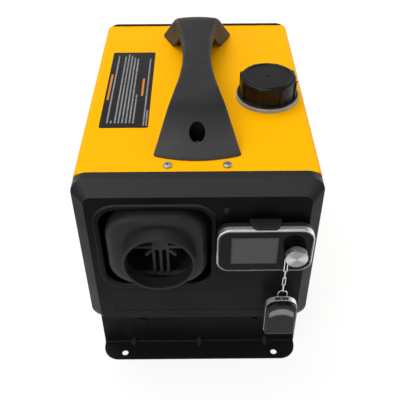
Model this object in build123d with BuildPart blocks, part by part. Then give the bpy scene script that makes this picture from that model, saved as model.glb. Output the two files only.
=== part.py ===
from build123d import *
import math
import os

# Portable all-in-one diesel air heater. Millimetres, +Z up, the front faces -Y and +X is to
# the right seen from the front. The origin is on the floor, midway between the four holes
# of the bolt-down flanges.

# --- driving dimensions: casing ---
BOX_W = 248.4                # cover, side to side
BOX_L = 329.0                # cover that shows between the two end panels
BOX_TOP = 276.8              # top of the cover above the floor
BASE_H = 71.0                # top of the tray that everything stands on
COVER_R = 7.0                # cover's top corners
SKIN = 1.5                   # cover and end panel sheet
PLATE = 2.0                  # tray, bracket, brace and stand sheet
GAP = 0.3                    # gap between pieces that do not touch
RUN_GAP = 0.05               # radial clearance of a shaft in its hole

# --- driving dimensions: end panels ---
PANEL_PROUD = 1.8            # panel stands proud of the cover's top and sides
PANEL_UNDER = 3.0            # panel reaches below the top of the tray
SKIRT = 11.0                 # straight skirt of the front panel, front to back
REAR_SKIRT = 3.0             # skirt of the rear panel
BEVEL = 13.0                 # bevel between skirt and flat face
PANEL_R = 17.0               # panel's corner radius
FACE_R = 9.0                 # corner radius of the flat face
COVER_TUCK = 7.5             # cover's length hidden inside the front skirt
REAR_TUCK = 2.0              # and inside the rear one
DUCT_W = 113.0               # duct opening in the front panel
DUCT_H = 109.0
DUCT_R = 19.0
DUCT_SHIFT = -3.0            # opening's centre beside the heater's axis
BEAD_W = 6.5                 # raised bead around the opening
BEAD_H = 2.5
FIELD_W = 192.0              # shallow pressed field along the front panel's foot
FIELD_H = 28.8
FIELD_RISE = 35.2            # field's centre above the tray
FIELD_DEEP = 1.0
EAR_W = 20.0                 # ears that the panel screws go through
EAR_IN = 18.5                # ear's reach past the skirt
EAR_X = 60.0                 # lower ears
TOP_EAR_X = 30.0             # upper ears

# --- driving dimensions: base ---
BASE_IN = 4.2                # tray's sides inside the cover's
FLANGE = 26.4                # flange's reach in front of the web
FLANGE_R = 19.0
BOLT_IN = 26.5               # floor bolts in from the tray's sides
BOLT_INSET = 9.2             # floor bolt's centre behind the flange's edge
BOLT_R = 4.0
LIP_DROP = 43.0              # tray's turned-down ends
WEB_SCREW_X = 69.0
WEB_SCREW_Z = 43.6
GUSSET_X = 83.0
GUSSET = 9.0                 # dimples pressed across the bend
GUSSET_T = 7.0
GUSSET_TAPER = 32.0          # degrees
BEND_IN = 2.0                # radii of the bend between web and flange
BEND_OUT = 4.0

# --- driving dimensions: screws ---
SCREW_R = 2.5                # M5 screws hold the casing
SCREW_HEAD_R = 4.5
SCREW_HEAD_H = 2.6
SCREW_SHANK = 4.6            # short enough to stay clear of the tank
WEB_SHANK = 9.0
BIG_SCREW_R = 3.0            # M6 screws hold the handle
BIG_HEAD_R = 5.6
BIG_HEAD_H = 3.6
BIG_SHANK = 16.0

# --- driving dimensions: handle ---
GRIP_RISE = 47.6             # top of the grip above the cover
GRIP_DEEP = 20.0             # side walls of the grip
GRIP_HALF = 15.8             # half width at the middle
NECK_HALF = 25.5             # half width where the feet begin to fan out
FOOT_FAN = 48.5              # length over which a foot fans out
NECK_ROUND = 60.0
FOOT_HALF = 46.2             # half width at the feet
FOOT_INSET = 28.0            # feet's outer corners in from the cover's visible ends
FOOT_SAG = 9.0               # bow of the feet's outer edge
FOOT_LONG = 42.0             # foot's length, out to in
FOOT_LIP = 2.5
FOOT_ROUND = 4.0             # feet's corners
CREST_R = 45.0               # bend from the grip's top into the slope
HANDLE_WALL = 3.0
HANDLE_ROUND = 5.0           # rounding of the handle's long edges
HANDLE_SLOPE = 42.5          # degrees
BORE_INSET = 20.5            # screw bore in from the foot's outer edge
BORE_R = 8.25
FOOT_FLOOR = 4.0

# --- driving dimensions: heater unit ---
AXIS_INSET = 84.2            # heater's axis in from the cover's left side
AXIS_Z = 196.0
OUTLET_R = 37.5              # duct spigot, outside
OUTLET_LEN = 15.0
OUTLET_OUT = 25.2            # spigot's mouth in front of the panel's face
HOOD_W = 105.0               # square hood behind the spigot
HOOD_H = 101.0
HOOD_R = 32.0
HOOD_COLLAR = 3.0            # hood's end stands proud of the spigot
COWL_WALL = 3.0
SHELL_W = 116.0
SHELL_H = 118.0
SHELL_R = 24.0
SHELL_WALL = 3.0
SHELL_FRONT_IN = 48.5        # shell's front end behind the panel's face
SHELL_REAR_IN = 48.5         # shell's rear end in front of the rear panel's face
CORE_R = 40.0                # heat exchanger's body
CORE_WALL = 5.0
FIN_R = 50.0
FIN_T = 2.5
FIN_COUNT = 28
BURNER_R = 26.0
BURNER_LONG = 96.0
BLOWER_R = 44.0
BLOWER_T = 18.0
AIR_PORT_R = 7.0             # from the blower into the burner
AIR_BOSS_R = 8.0             # combustion air's way into the blower
AIR_BORE_R = 4.5
MOTOR_R = 28.0
MOTOR_L = 34.0
SHAFT_R = 3.0
FAN_R = 47.0
FAN_T = 20.0
FAN_BLADES = 9
EXHAUST_R = 12.0             # hose ends of the two pipes
EXHAUST_Y = -35.0
INTAKE_R = 12.5
PIPE_STEP = 1.0              # pipes are this much narrower above their hose ends
PIPE_WALL = 1.5
PIPE_END_Z = 30.0            # lower end of both pipes
PIPE_GRIP = 36.0             # length of their hose ends
PIPE_GAP = 1.0               # pipes in the tray's holes
BOSS_W = 60.0                # exchanger's foot
BOSS_L = 80.0
BOSS_Y = -20.0
STAND_T = 61.0               # stand's height above the tray

# --- driving dimensions: fuel ---
CAP_INSET = 43.2             # cap's axis in from the cover's right side
CAP_Y = -23.5
CAP_R = 33.3                 # over the ribs
CAP_BODY_R = 31.4
CAP_FLANGE_R = 35.1          # flange round the cap's lower edge
CAP_FLANGE_H = 2.4
CAP_H = 23.0
CAP_TOP_T = 3.6
CAP_RIBS = 8
CAP_RIB_PHASE = 24.0
CAP_RING_R = 26.9            # raised rim on the cap's top
NECK_R = 26.0                # tank neck, outside
NECK_WALL = 4.0
THREAD = 1.6                 # thread's height
THREAD_GAP = 0.6
PITCH = 6.0                  # thread's rise in one turn
RING_R = 36.0                # grey ring on the cover
RING_H = 4.5
RING_SKIRT = 6.0
RING_WALL = 1.8
TANK_CLEAR = 10.0            # between heater shell and tank
TANK_SIDE = 3.7              # between tank and cover
TANK_FRONT_IN = 24.5
TANK_REAR_IN = 14.5
TANK_TOP_IN = 13.3           # between tank and cover's top
TANK_WALL = 3.0
TANK_R = 12.0
PAD = 3.0                    # rubber pads under the tank
FUEL_Y = 100.0               # filter and pump lie across the box here
FUEL_RISE = 24.0             # their axis above the tray
PUMP_R = 15.0
PUMP_L = 60.0
PLUNGER_R = 6.0
PLUNGER_STROKE = 4.0
BARB_R = 3.0
LINE_R = 2.5

# --- driving dimensions: controller ---
CTRL_INSET = 56.2            # controller's centre in from the cover's right side
CTRL_Z = 204.7
CTRL_W = 98.6
CTRL_H = 59.0
CTRL_R = 14.0
CTRL_DEEP = 15.0
BEZEL_W = 2.2                # bright frame's width
BEZEL_DEEP = 6.5
GLASS_T = 3.7                # glass, front to back
LATCH_W = 32.0               # tab over the housing, at the panel
LATCH_END_W = 26.0           # and at its free end
LATCH_ROUND = 7.0
LCD_W = 47.5
LCD_H = 37.0
LCD_T = 1.2
LCD_SHIFT = -10.7
KNOB_SHIFT = 31.0            # knob's axis right of the controller's centre
KNOB_R = 11.5
KNOB_LEN = 7.6
KNOB_OUT = 11.7              # knob's face in front of the controller
KNOB_NECK_R = 8.5
KNOB_PRESS = 0.6             # push travel
KNOB_LIP = 1.2               # plain edge in front of the knurls
KNURLS = 48

# --- driving dimensions: key chain and fob ---
WIRE = 1.1                   # wire loop's thickness
LINK_WIRE = 0.9
LOOP_R = 10.0                # wire loop round the knob's neck
LOOP_DROP = 27.4             # loop's lower end below the knob's axis
STRAND_HALF = 1.6            # half the spacing of the loop's two strands
LINK_HALF = 1.45
LINK_LONG = (11.2, 12.3, 10.8)
RING_HALF = 4.9              # fob ring's top
RING_FOOT = 4.3              # fob ring's lower end
FOB_W = 34.8
FOB_H = 53.8
FOB_DROP = 70.4              # fob's top below the knob's axis
FOB_DEEP = 14.0
FOB_TOP_R = 13.0
FOB_FOOT_R = 4.0
FOB_TRIM = 1.6               # bright frame's width
FOB_BRIDGE = 7.5             # frame's thick top, which holds the ring
FOB_HANG = 5.2               # chain's plane in front of the fob's back
FOB_COVER_T = 5.3            # sliding cover
FOB_COVER_IN = 0.6           # its outline inside the fob's
FOB_COVER_ROUND = 3.0
FOB_TRAVEL = 20.0            # its travel
CRESCENT_DROP = 7.4          # thumb band's top below the fob's top
CRESCENT = 10.3              # band's height
CRESCENT_HALF = 13.6
CRESCENT_R = 16.4            # band's upper arc
CRESCENT_LOW_R = 18.7        # band's lower arc
CRESCENT_SUNK = 0.8
BUTTON_R = 2.9
BUTTON_PRESS = 0.6

# --- worked out from the driving dimensions ---
HALF_W = BOX_W / 2
HALF_L = BOX_L / 2
SIDE_IN = HALF_W - SKIN                       # cover's inside face
ROOF_IN = BOX_TOP - SKIN                      # underside of the cover's top
FACE = HALF_L + SKIRT + BEVEL                 # front panel's flat face, from the middle
REAR_FACE = HALF_L + REAR_SKIRT + BEVEL
BEVEL_SHIFT = SKIN * (math.sqrt(2) - 1)       # how far the bevel's inside knees move
PANEL_W = BOX_W + 2 * PANEL_PROUD
PANEL_TOP = BOX_TOP + PANEL_PROUD
PANEL_BOTTOM = BASE_H - PANEL_UNDER
PANEL_MID = (PANEL_TOP + PANEL_BOTTOM) / 2
PANEL_H = PANEL_TOP - PANEL_BOTTOM
BASE_W = BOX_W - 2 * BASE_IN
BOLT_X = BASE_W / 2 - BOLT_IN                  # half the floor bolts' spacing across
TRAY_END = HALF_L - PLATE                     # tray's ends, behind the bracket webs
BOLT_Y = HALF_L + FLANGE - BOLT_INSET
EAR_END = HALF_L - EAR_IN
ROW_Y = EAR_END + 7.2                         # screws through the panel's ears
FLANGE_IN = 14.0                              # cover's turned-in lower edges
HANDLE_END = HALF_L - FOOT_INSET + FOOT_SAG   # foot's outer edge at its middle
FOOT_R = (FOOT_HALF**2 + FOOT_SAG**2) / (2 * FOOT_SAG)
FOOT_AXIS = HANDLE_END - FOOT_R               # centre of the foot's bowed edge
FOOT_Y = HALF_L - FOOT_INSET                  # foot's outer corners
NECK_END = FOOT_Y - FOOT_FAN
SCREW_Y = HANDLE_END - BORE_INSET             # handle screws
FLANGE_SCREW_X = HALF_W - 9.2
FLANGE_SCREW_Y = HALF_L - 64.5
AXIS_X = AXIS_INSET - HALF_W
DUCT_X = AXIS_X + DUCT_SHIFT
SHELL_FRONT = FACE - SHELL_FRONT_IN           # distances from the middle
SHELL_REAR = REAR_FACE - SHELL_REAR_IN
BLOWER_Y = SHELL_REAR - 92.0                  # blower plate's front face
MOTOR_Y = BLOWER_Y + BLOWER_T
FAN_Y = MOTOR_Y + MOTOR_L + 8.0
INTAKE_Y = BLOWER_Y + BLOWER_T / 2
AIR_BOSS_Z = AXIS_Z - BLOWER_R - 4.0          # boss under the blower plate
STAND_TOP = BASE_H + STAND_T + PLATE
CTRL_X = HALF_W - CTRL_INSET
CTRL_FRONT = FACE + CTRL_DEEP
KNOB_X = CTRL_X + KNOB_SHIFT
KNOB_FACE = CTRL_FRONT + KNOB_OUT
CAP_X = HALF_W - CAP_INSET
CAP_Z = BOX_TOP + RING_H + 0.5                # cap's lower edge
CAP_CEILING = CAP_Z + CAP_H - CAP_TOP_T
GASKET_T = 1.4
NECK_TOP = CAP_CEILING - GASKET_T - 2 * GAP
TANK_LEFT = AXIS_X + SHELL_W / 2 + TANK_CLEAR
TANK_RIGHT = SIDE_IN - TANK_SIDE
TANK_BOTTOM = BASE_H + PAD
TANK_TOP = ROOF_IN - TANK_TOP_IN
FUEL_Z = BASE_H + FUEL_RISE
KNOB_BACK = KNOB_FACE - KNOB_LEN
GLASS_FRONT = CTRL_FRONT - 0.8
CHAIN_OUT = KNOB_BACK - KNOB_PRESS - GAP - WIRE / 2   # plane in which the chain hangs
STRAND_X = KNOB_X - LOOP_R + STRAND_HALF      # midway between the loop's two strands
LOOP_END = CTRL_Z - LOOP_DROP
FOB_TOP = CTRL_Z - FOB_DROP
FOB_BACK = CHAIN_OUT - FOB_HANG
FOB_FRONT = FOB_BACK + FOB_DEEP

os.makedirs("parts", exist_ok=True)


def front(distance):
    """Sketch plane that faces the front, at y = -distance; its own y runs up."""
    return Plane.XZ.offset(distance)


def write(piece, label):
    piece.part.label = label
    export_step(piece.part, f"parts/{label}.step")


def pan_head_screw(head_r, head_h, shank_r, shank):
    """Screw with its head above the XY plane, its shank below and a cross recess."""
    with BuildPart() as made:
        with BuildSketch():
            Circle(head_r)
        extrude(amount=head_h)
        fillet(made.edges().sort_by(Axis.Z)[-1], head_h * 0.45)
        with BuildSketch():
            Circle(shank_r)
        extrude(amount=-shank)
        with BuildSketch(Plane.XY.offset(head_h)):
            Rectangle(head_r * 1.1, head_r * 0.24)
            Rectangle(head_r * 0.24, head_r * 1.1)
        extrude(amount=-head_h * 0.55, mode=Mode.SUBTRACT)
    return made.part


casing_screw = pan_head_screw(SCREW_HEAD_R, SCREW_HEAD_H, SCREW_R, SCREW_SHANK)
web_screw = pan_head_screw(SCREW_HEAD_R, SCREW_HEAD_H, SCREW_R, WEB_SHANK)
handle_screw = pan_head_screw(BIG_HEAD_R, BIG_HEAD_H, BIG_SCREW_R, BIG_SHANK)

# =============================== base ===============================

# Tray: a floor sheet with its two ends turned down behind the bracket webs.
NUT_R = 4.6                  # nuts pressed into the sheet behind each web screw
NUT_H = 4.0

with BuildPart() as base_tray:
    with BuildSketch(Plane.XY.offset(BASE_H - PLATE)):
        Rectangle(BASE_W, 2 * TRAY_END)
    extrude(amount=PLATE)
    with BuildSketch(Plane.XY.offset(BASE_H - LIP_DROP)):
        with Locations((0, TRAY_END - PLATE / 2), (0, PLATE / 2 - TRAY_END)):
            Rectangle(BASE_W, PLATE)
    extrude(amount=LIP_DROP)
    for end in (-1, 1):
        with BuildSketch(front(-end * (TRAY_END - PLATE))):
            with Locations((-WEB_SCREW_X, WEB_SCREW_Z), (WEB_SCREW_X, WEB_SCREW_Z)):
                Circle(NUT_R)
        extrude(amount=end * NUT_H)
    with BuildSketch(Plane.XY.offset(BASE_H)):
        with Locations((AXIS_X, EXHAUST_Y)):
            Circle(EXHAUST_R - PIPE_STEP + PIPE_GAP)
        with Locations((AXIS_X, INTAKE_Y)):
            Circle(INTAKE_R - PIPE_STEP + PIPE_GAP)
        with GridLocations(2 * EAR_X, 2 * ROW_Y, 2, 2):
            Circle(SCREW_R + RUN_GAP)
        with GridLocations(2 * FLANGE_SCREW_X, 2 * FLANGE_SCREW_Y, 2, 2):
            Circle(SCREW_R + RUN_GAP)
    extrude(amount=-PLATE, mode=Mode.SUBTRACT)
    with BuildSketch(front(HALF_L)):
        with Locations((-WEB_SCREW_X, WEB_SCREW_Z), (WEB_SCREW_X, WEB_SCREW_Z)):
            Circle(SCREW_R + RUN_GAP)
    extrude(amount=-BOX_L, mode=Mode.SUBTRACT)
write(base_tray, "base_tray")

# End brackets: each a web, an out-turned flange and three dimples pressed across the bend.
with BuildPart() as end_brackets:
    for end in (-1, 1):
        with BuildSketch() as flange:
            with Locations((0, end * (HALF_L + (FLANGE - PLATE) / 2))):
                Rectangle(BASE_W, FLANGE + PLATE)
            fillet(flange.vertices().sort_by(Axis.Y, reverse=end > 0)[:2], FLANGE_R)
            with Locations((-BOLT_X, end * BOLT_Y), (BOLT_X, end * BOLT_Y)):
                Circle(BOLT_R, mode=Mode.SUBTRACT)
        extrude(amount=PLATE)
        with BuildSketch():
            with Locations((0, end * (HALF_L - PLATE / 2))):
                Rectangle(BASE_W, PLATE)
        extrude(amount=BASE_H)
    bends = end_brackets.edges().filter_by(Axis.X)
    hollow = bends.filter_by_position(Axis.Z, PLATE - 0.1, PLATE + 0.1)
    for end in (-1, 1):
        reach = sorted((end * (HALF_L - 0.1), end * (HALF_L + 0.1)))
        fillet(hollow.filter_by_position(Axis.Y, *reach), BEND_IN)
    knees = end_brackets.edges().filter_by(Axis.X).filter_by_position(Axis.Z, -0.1, 0.1)
    fillet(knees.filter_by_position(Axis.Y, -TRAY_END - 0.1, TRAY_END + 0.1), BEND_OUT)
    for end in (-1, 1):
        for gusset_x in (-GUSSET_X, 0, GUSSET_X):
            with BuildSketch(Plane.YZ.offset(gusset_x)):
                with BuildLine():
                    Polyline(
                        (end * (HALF_L - PLATE / 2), PLATE / 2),
                        (end * (HALF_L + GUSSET), PLATE / 2),
                        (end * (HALF_L - PLATE / 2), PLATE + GUSSET),
                        close=True,
                    )
                make_face()
            extrude(amount=GUSSET_T / 2, both=True, taper=GUSSET_TAPER)
    with BuildSketch(front(HALF_L)):
        with Locations((-WEB_SCREW_X, WEB_SCREW_Z), (WEB_SCREW_X, WEB_SCREW_Z)):
            Circle(SCREW_R + RUN_GAP)
    extrude(amount=-BOX_L, mode=Mode.SUBTRACT)
write(end_brackets, "end_brackets")

with BuildPart() as bracket_screws:
    for end in (-1, 1):
        for side in (-1, 1):
            seat = Plane(
                origin=(side * WEB_SCREW_X, end * HALF_L, WEB_SCREW_Z),
                x_dir=(1, 0, 0),
                z_dir=(0, end, 0),
            )
            add(seat * web_screw)
write(bracket_screws, "bracket_screws")

# =============================== casing ===============================

# Cover: one sheet wrapped over the sides and top, with its lower edges turned in. The corners
# of its tucked ends are cut away, clear of the panels' corners.
COVER_LONG = BOX_L + COVER_TUCK + REAR_TUCK
with BuildPart() as top_cover:
    with BuildSketch(front(HALF_L + COVER_TUCK)) as wrap:
        with Locations((0, BASE_H)):
            Rectangle(BOX_W, BOX_TOP - BASE_H, align=(Align.CENTER, Align.MIN))
        fillet(wrap.vertices().group_by(Axis.Y)[-1], COVER_R)
    extrude(amount=-COVER_LONG)
    with BuildSketch(front(HALF_L + COVER_TUCK)) as inside:
        with Locations((0, BASE_H + SKIN)):
            Rectangle(2 * SIDE_IN, ROOF_IN - BASE_H - SKIN, align=(Align.CENTER, Align.MIN))
        fillet(inside.vertices().group_by(Axis.Y)[-1], COVER_R - SKIN)
        with Locations((0, BASE_H)):
            Rectangle(BOX_W - 2 * FLANGE_IN, 2 * SKIN)
    extrude(amount=-COVER_LONG, mode=Mode.SUBTRACT)
    with BuildSketch(Plane.XY.offset(BOX_TOP)):
        with Locations((CAP_X, CAP_Y)):
            Circle(NECK_R + THREAD + THREAD_GAP + RING_WALL + 0.2)
    extrude(amount=-COVER_R, mode=Mode.SUBTRACT)
    for end, tuck in ((-1, COVER_TUCK), (1, REAR_TUCK)):
        notch_y = end * (HALF_L + tuck / 2)
        for foot, tall in ((BASE_H, PANEL_R - PANEL_UNDER), (PANEL_TOP - PANEL_R, PANEL_R)):
            with BuildSketch(Plane.XY.offset(foot)):
                with Locations((-HALF_W, notch_y), (HALF_W, notch_y)):
                    Rectangle(2 * PANEL_R, tuck)
            extrude(amount=tall, mode=Mode.SUBTRACT)
    with BuildSketch(Plane.XY.offset(BOX_TOP)):
        with GridLocations(2 * TOP_EAR_X, 2 * ROW_Y, 2, 2):
            Circle(SCREW_R + RUN_GAP)
        with Locations((0, -SCREW_Y), (0, SCREW_Y)):
            Circle(BIG_SCREW_R + RUN_GAP)
    extrude(amount=-SKIN, mode=Mode.SUBTRACT)
    with BuildSketch(Plane.XY.offset(BASE_H)):
        with GridLocations(2 * FLANGE_SCREW_X, 2 * FLANGE_SCREW_Y, 2, 2):
            Circle(SCREW_R + RUN_GAP)
    extrude(amount=SKIN, mode=Mode.SUBTRACT)
write(top_cover, "top_cover")


def stamped_pan(skirt):
    """Panel pressed from sheet, facing the front: flat face, bevel, skirt and four ears."""
    skirt_end = HALF_L + skirt
    face = skirt_end + BEVEL
    with BuildPart() as made:
        for inset, shift, mode in ((0.0, 0.0, Mode.ADD), (SKIN, BEVEL_SHIFT, Mode.SUBTRACT)):
            knee = skirt_end - shift
            with BuildSketch(front(HALF_L)):
                with Locations((0, PANEL_MID)):
                    RectangleRounded(PANEL_W - 2 * inset, PANEL_H - 2 * inset, PANEL_R - inset)
            extrude(amount=knee - HALF_L, mode=mode)
            with BuildSketch(front(knee)):
                with Locations((0, PANEL_MID)):
                    RectangleRounded(PANEL_W - 2 * inset, PANEL_H - 2 * inset, PANEL_R - inset)
            with BuildSketch(front(face - inset)):
                with Locations((0, PANEL_MID)):
                    RectangleRounded(
                        PANEL_W - 2 * (BEVEL + shift),
                        PANEL_H - 2 * (BEVEL + shift),
                        FACE_R - shift,
                    )
            loft(mode=mode)
        for ear_x, ear_z, thick in ((TOP_EAR_X, ROOF_IN, -PLATE), (EAR_X, BASE_H, PLATE)):
            rise = min(PANEL_TOP - ear_z, ear_z - PANEL_BOTTOM)
            start = skirt_end + rise - SKIN / 2
            with BuildSketch(Plane.XY.offset(ear_z)):
                with Locations((-ear_x, -(start + EAR_END) / 2), (ear_x, -(start + EAR_END) / 2)):
                    Rectangle(EAR_W, start - EAR_END)
                with Locations((-ear_x, -ROW_Y), (ear_x, -ROW_Y)):
                    Circle(SCREW_R + RUN_GAP, mode=Mode.SUBTRACT)
            extrude(amount=thick)
    return made.part


BRACKET_T = 2.0              # controller bracket's plate
VENT_R = 3.0                 # small hole above the opening's corner
VENT_X = AXIS_X + 68.0
VENT_Z = AXIS_Z + 51.7
CABLE_R = 6.0                # hole behind the controller for its lead

with BuildPart() as front_panel:
    add(stamped_pan(SKIRT))
    with BuildSketch(front(FACE)):
        with Locations((DUCT_X, AXIS_Z)):
            RectangleRounded(DUCT_W + 2 * BEAD_W, DUCT_H + 2 * BEAD_W, DUCT_R + BEAD_W)
            RectangleRounded(DUCT_W, DUCT_H, DUCT_R, mode=Mode.SUBTRACT)
    extrude(amount=BEAD_H)
    fillet(front_panel.edges().group_by(Axis.Y)[0], BEAD_H * 0.85)
    with BuildSketch(front(FACE)):
        with Locations((DUCT_X, AXIS_Z)):
            RectangleRounded(DUCT_W, DUCT_H, DUCT_R)
        with Locations((VENT_X, VENT_Z)):
            Circle(VENT_R)
        with Locations((CTRL_X, CTRL_Z)):
            Circle(CABLE_R)
    extrude(amount=-SKIN, mode=Mode.SUBTRACT)
    with BuildSketch(front(FACE - SKIN)):
        with Locations((0, BASE_H + FIELD_RISE)):
            RectangleRounded(FIELD_W + 2 * SKIN, FIELD_H + 2 * SKIN, 5.0 + SKIN)
    extrude(amount=-FIELD_DEEP)
    with BuildSketch(front(FACE)):
        with Locations((0, BASE_H + FIELD_RISE)):
            RectangleRounded(FIELD_W, FIELD_H, 5.0)
    extrude(amount=-FIELD_DEEP, mode=Mode.SUBTRACT)
write(front_panel, "front_panel")

INLET_R = 50.0               # air inlet's bore
INLET_WALL = 2.5
SOCKET_X = CTRL_X + 7.0      # power socket on the rear panel
SOCKET_Z = AXIS_Z - 36.0
SOCKET_W = 26.0
SOCKET_H = 18.0

with BuildPart() as rear_panel:
    add(mirror(stamped_pan(REAR_SKIRT), about=Plane.XZ, mode=Mode.PRIVATE))
    with BuildSketch(front(-REAR_FACE)):
        with Locations((AXIS_X, AXIS_Z)):
            Circle(INLET_R + INLET_WALL + GAP)
        with Locations((SOCKET_X, SOCKET_Z)):
            Rectangle(SOCKET_W, SOCKET_H)
    extrude(amount=SKIN, mode=Mode.SUBTRACT)
write(rear_panel, "rear_panel")

with BuildPart() as body_screws:
    for end in (-1, 1):
        for side in (-1, 1):
            upper = Plane(
                origin=(side * TOP_EAR_X, end * ROW_Y, BOX_TOP),
                x_dir=(1, 0, 0),
                z_dir=(0, 0, 1),
            )
            lower = Plane(
                origin=(side * EAR_X, end * ROW_Y, BASE_H - PLATE),
                x_dir=(1, 0, 0),
                z_dir=(0, 0, -1),
            )
            edge = Plane(
                origin=(side * FLANGE_SCREW_X, end * FLANGE_SCREW_Y, BASE_H - PLATE),
                x_dir=(1, 0, 0),
                z_dir=(0, 0, -1),
            )
            for seat in (upper, lower, edge):
                add(seat * casing_screw)
write(body_screws, "body_screws")

# Plain sticker on the left of the cover's top.
STICKER_T = 0.3
STICKER_W = 53.7
STICKER_L = 172.0
STICKER_X = 16.8 + STICKER_W / 2 - HALF_W
STICKER_Y = 0.6

with BuildPart() as top_sticker:
    with BuildSketch(Plane.XY.offset(BOX_TOP)):
        with Locations((STICKER_X, STICKER_Y)):
            RectangleRounded(STICKER_W, STICKER_L, 2.5)
    extrude(amount=STICKER_T)
write(top_sticker, "top_sticker")

# =============================== handle ===============================
SLOPE = math.tan(math.radians(HANDLE_SLOPE))
SLOPE_COS = math.cos(math.radians(HANDLE_SLOPE))


def handle_block(wall):
    """Handle's outer form, solid down to the cover, moved in all over by a wall.

    Each end is a cone round the centre of its foot's bowed edge, and the plan outline trims both.
    """
    top = BOX_TOP + GRIP_RISE - wall
    bottom = BOX_TOP - wall
    lip = BOX_TOP + FOOT_LIP - wall / SLOPE_COS
    crest = FOOT_R - (top - lip) / SLOPE
    toe = FOOT_R + (lip - bottom) / SLOPE
    with BuildPart() as made:
        for way in (-1, 1):
            axis_y = way * FOOT_AXIS
            section = Plane(origin=(0, axis_y, 0), x_dir=(0, way, 0), z_dir=(way, 0, 0))
            with BuildSketch(section):
                with BuildLine():
                    FilletPolyline((0, top), (crest, top), (toe, bottom), radius=CREST_R - wall)
                    Polyline((toe, bottom), (0, bottom), (0, top))
                make_face()
            revolve(axis=Axis((0, axis_y, 0), (0, 0, 1)))
        with BuildSketch(Plane.XY.offset(bottom)) as outline:
            with BuildLine():
                for side in (-1, 1):
                    ThreePointArc(
                        (side * NECK_HALF, -NECK_END),
                        (side * GRIP_HALF, 0),
                        (side * NECK_HALF, NECK_END),
                    )
                    for way in (-1, 1):
                        Line((side * NECK_HALF, way * NECK_END), (side * FOOT_HALF, way * FOOT_Y))
                for way in (-1, 1):
                    ThreePointArc(
                        (-FOOT_HALF, way * FOOT_Y),
                        (0, way * HANDLE_END),
                        (FOOT_HALF, way * FOOT_Y),
                    )
            make_face()
            neck = outline.vertices().filter_by_position(Axis.Y, -NECK_END - 1, NECK_END + 1)
            fillet(neck, NECK_ROUND)
            rear = outline.vertices().filter_by_position(Axis.Y, FOOT_Y - 1, FOOT_Y + 1)
            fillet(rear, FOOT_ROUND)
            fore = outline.vertices().filter_by_position(Axis.Y, -FOOT_Y - 1, 1 - FOOT_Y)
            fillet(fore, FOOT_ROUND)
            if wall:
                offset(amount=-wall, kind=Kind.INTERSECTION)
        extrude(amount=top - bottom + 1, mode=Mode.INTERSECT)
    return made.part


with BuildPart() as handle_core:
    add(handle_block(HANDLE_WALL))
    with BuildSketch(Plane.XY.offset(BOX_TOP)):
        with Locations((0, -SCREW_Y), (0, SCREW_Y)):
            Circle(BORE_R + HANDLE_WALL)
    extrude(amount=GRIP_RISE, mode=Mode.SUBTRACT)
    for rib_y in (-75.0, -45.0, -15.0, 15.0, 45.0, 75.0):
        with BuildSketch(front(-rib_y)):
            with Locations((0, BOX_TOP + GRIP_RISE)):
                Rectangle(2 * FOOT_HALF, 2 * GRIP_DEEP)
        extrude(amount=PLATE, mode=Mode.SUBTRACT)

with BuildPart() as handle:
    add(handle_block(0.0))
    bent = handle.edges().filter_by(GeomType.LINE, reverse=True)
    rim = bent.filter_by_position(Axis.Z, BOX_TOP + 1, BOX_TOP + GRIP_RISE + 1)
    crests = rim.filter_by_position(Axis.X, -1, 1).filter_by_position(
        Axis.Z, BOX_TOP + 10, BOX_TOP + GRIP_RISE + 1
    )
    fillet([edge for edge in rim if edge not in crests], HANDLE_ROUND)
    add(handle_core.part, mode=Mode.SUBTRACT)
    grip_under = BOX_TOP + GRIP_RISE - GRIP_DEEP
    foot_in = HANDLE_END - FOOT_LONG
    knee_in = foot_in - (grip_under - BOX_TOP) / SLOPE
    with BuildSketch(Plane.YZ):
        with BuildLine():
            FilletPolyline(
                (-foot_in - 2 / SLOPE, BOX_TOP - 2),
                (-knee_in, grip_under),
                (knee_in, grip_under),
                (foot_in + 2 / SLOPE, BOX_TOP - 2),
                radius=[14.0, 14.0],
            )
            Line((foot_in + 2 / SLOPE, BOX_TOP - 2), (-foot_in - 2 / SLOPE, BOX_TOP - 2))
        make_face()
    extrude(amount=FOOT_HALF + 1, both=True, mode=Mode.SUBTRACT)
    with BuildSketch(Plane.XY.offset(BOX_TOP + FOOT_FLOOR)):
        with Locations((0, -SCREW_Y), (0, SCREW_Y)):
            Circle(BORE_R)
    extrude(amount=GRIP_RISE, mode=Mode.SUBTRACT)
    with BuildSketch(Plane.XY.offset(BOX_TOP)):
        with Locations((0, -SCREW_Y), (0, SCREW_Y)):
            Circle(BIG_SCREW_R + RUN_GAP)
    extrude(amount=GRIP_RISE, mode=Mode.SUBTRACT)
write(handle, "handle")

with BuildPart() as handle_screws:
    with Locations((0, -SCREW_Y, BOX_TOP + FOOT_FLOOR), (0, SCREW_Y, BOX_TOP + FOOT_FLOOR)):
        add(handle_screw)
write(handle_screws, "handle_screws")

# Brace: a strip under the cover's top with a welded nut for each handle screw.
BRACE_W = 24.0
WELD_NUT_R = 6.0
WELD_NUT_H = 6.0
with BuildPart() as handle_brace:
    with BuildSketch(Plane.XY.offset(ROOF_IN)):
        RectangleRounded(BRACE_W, 2 * SCREW_Y + 30.0, 5.0)
    extrude(amount=-PLATE)
    with BuildSketch(Plane.XY.offset(ROOF_IN - PLATE)):
        with Locations((0, -SCREW_Y), (0, SCREW_Y)):
            RegularPolygon(WELD_NUT_R, 6)
    extrude(amount=-WELD_NUT_H)
    with BuildSketch(Plane.XY.offset(ROOF_IN)):
        with Locations((0, -SCREW_Y), (0, SCREW_Y)):
            Circle(BIG_SCREW_R + RUN_GAP)
    extrude(amount=-PLATE - WELD_NUT_H, mode=Mode.SUBTRACT)
write(handle_brace, "handle_brace")

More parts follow.
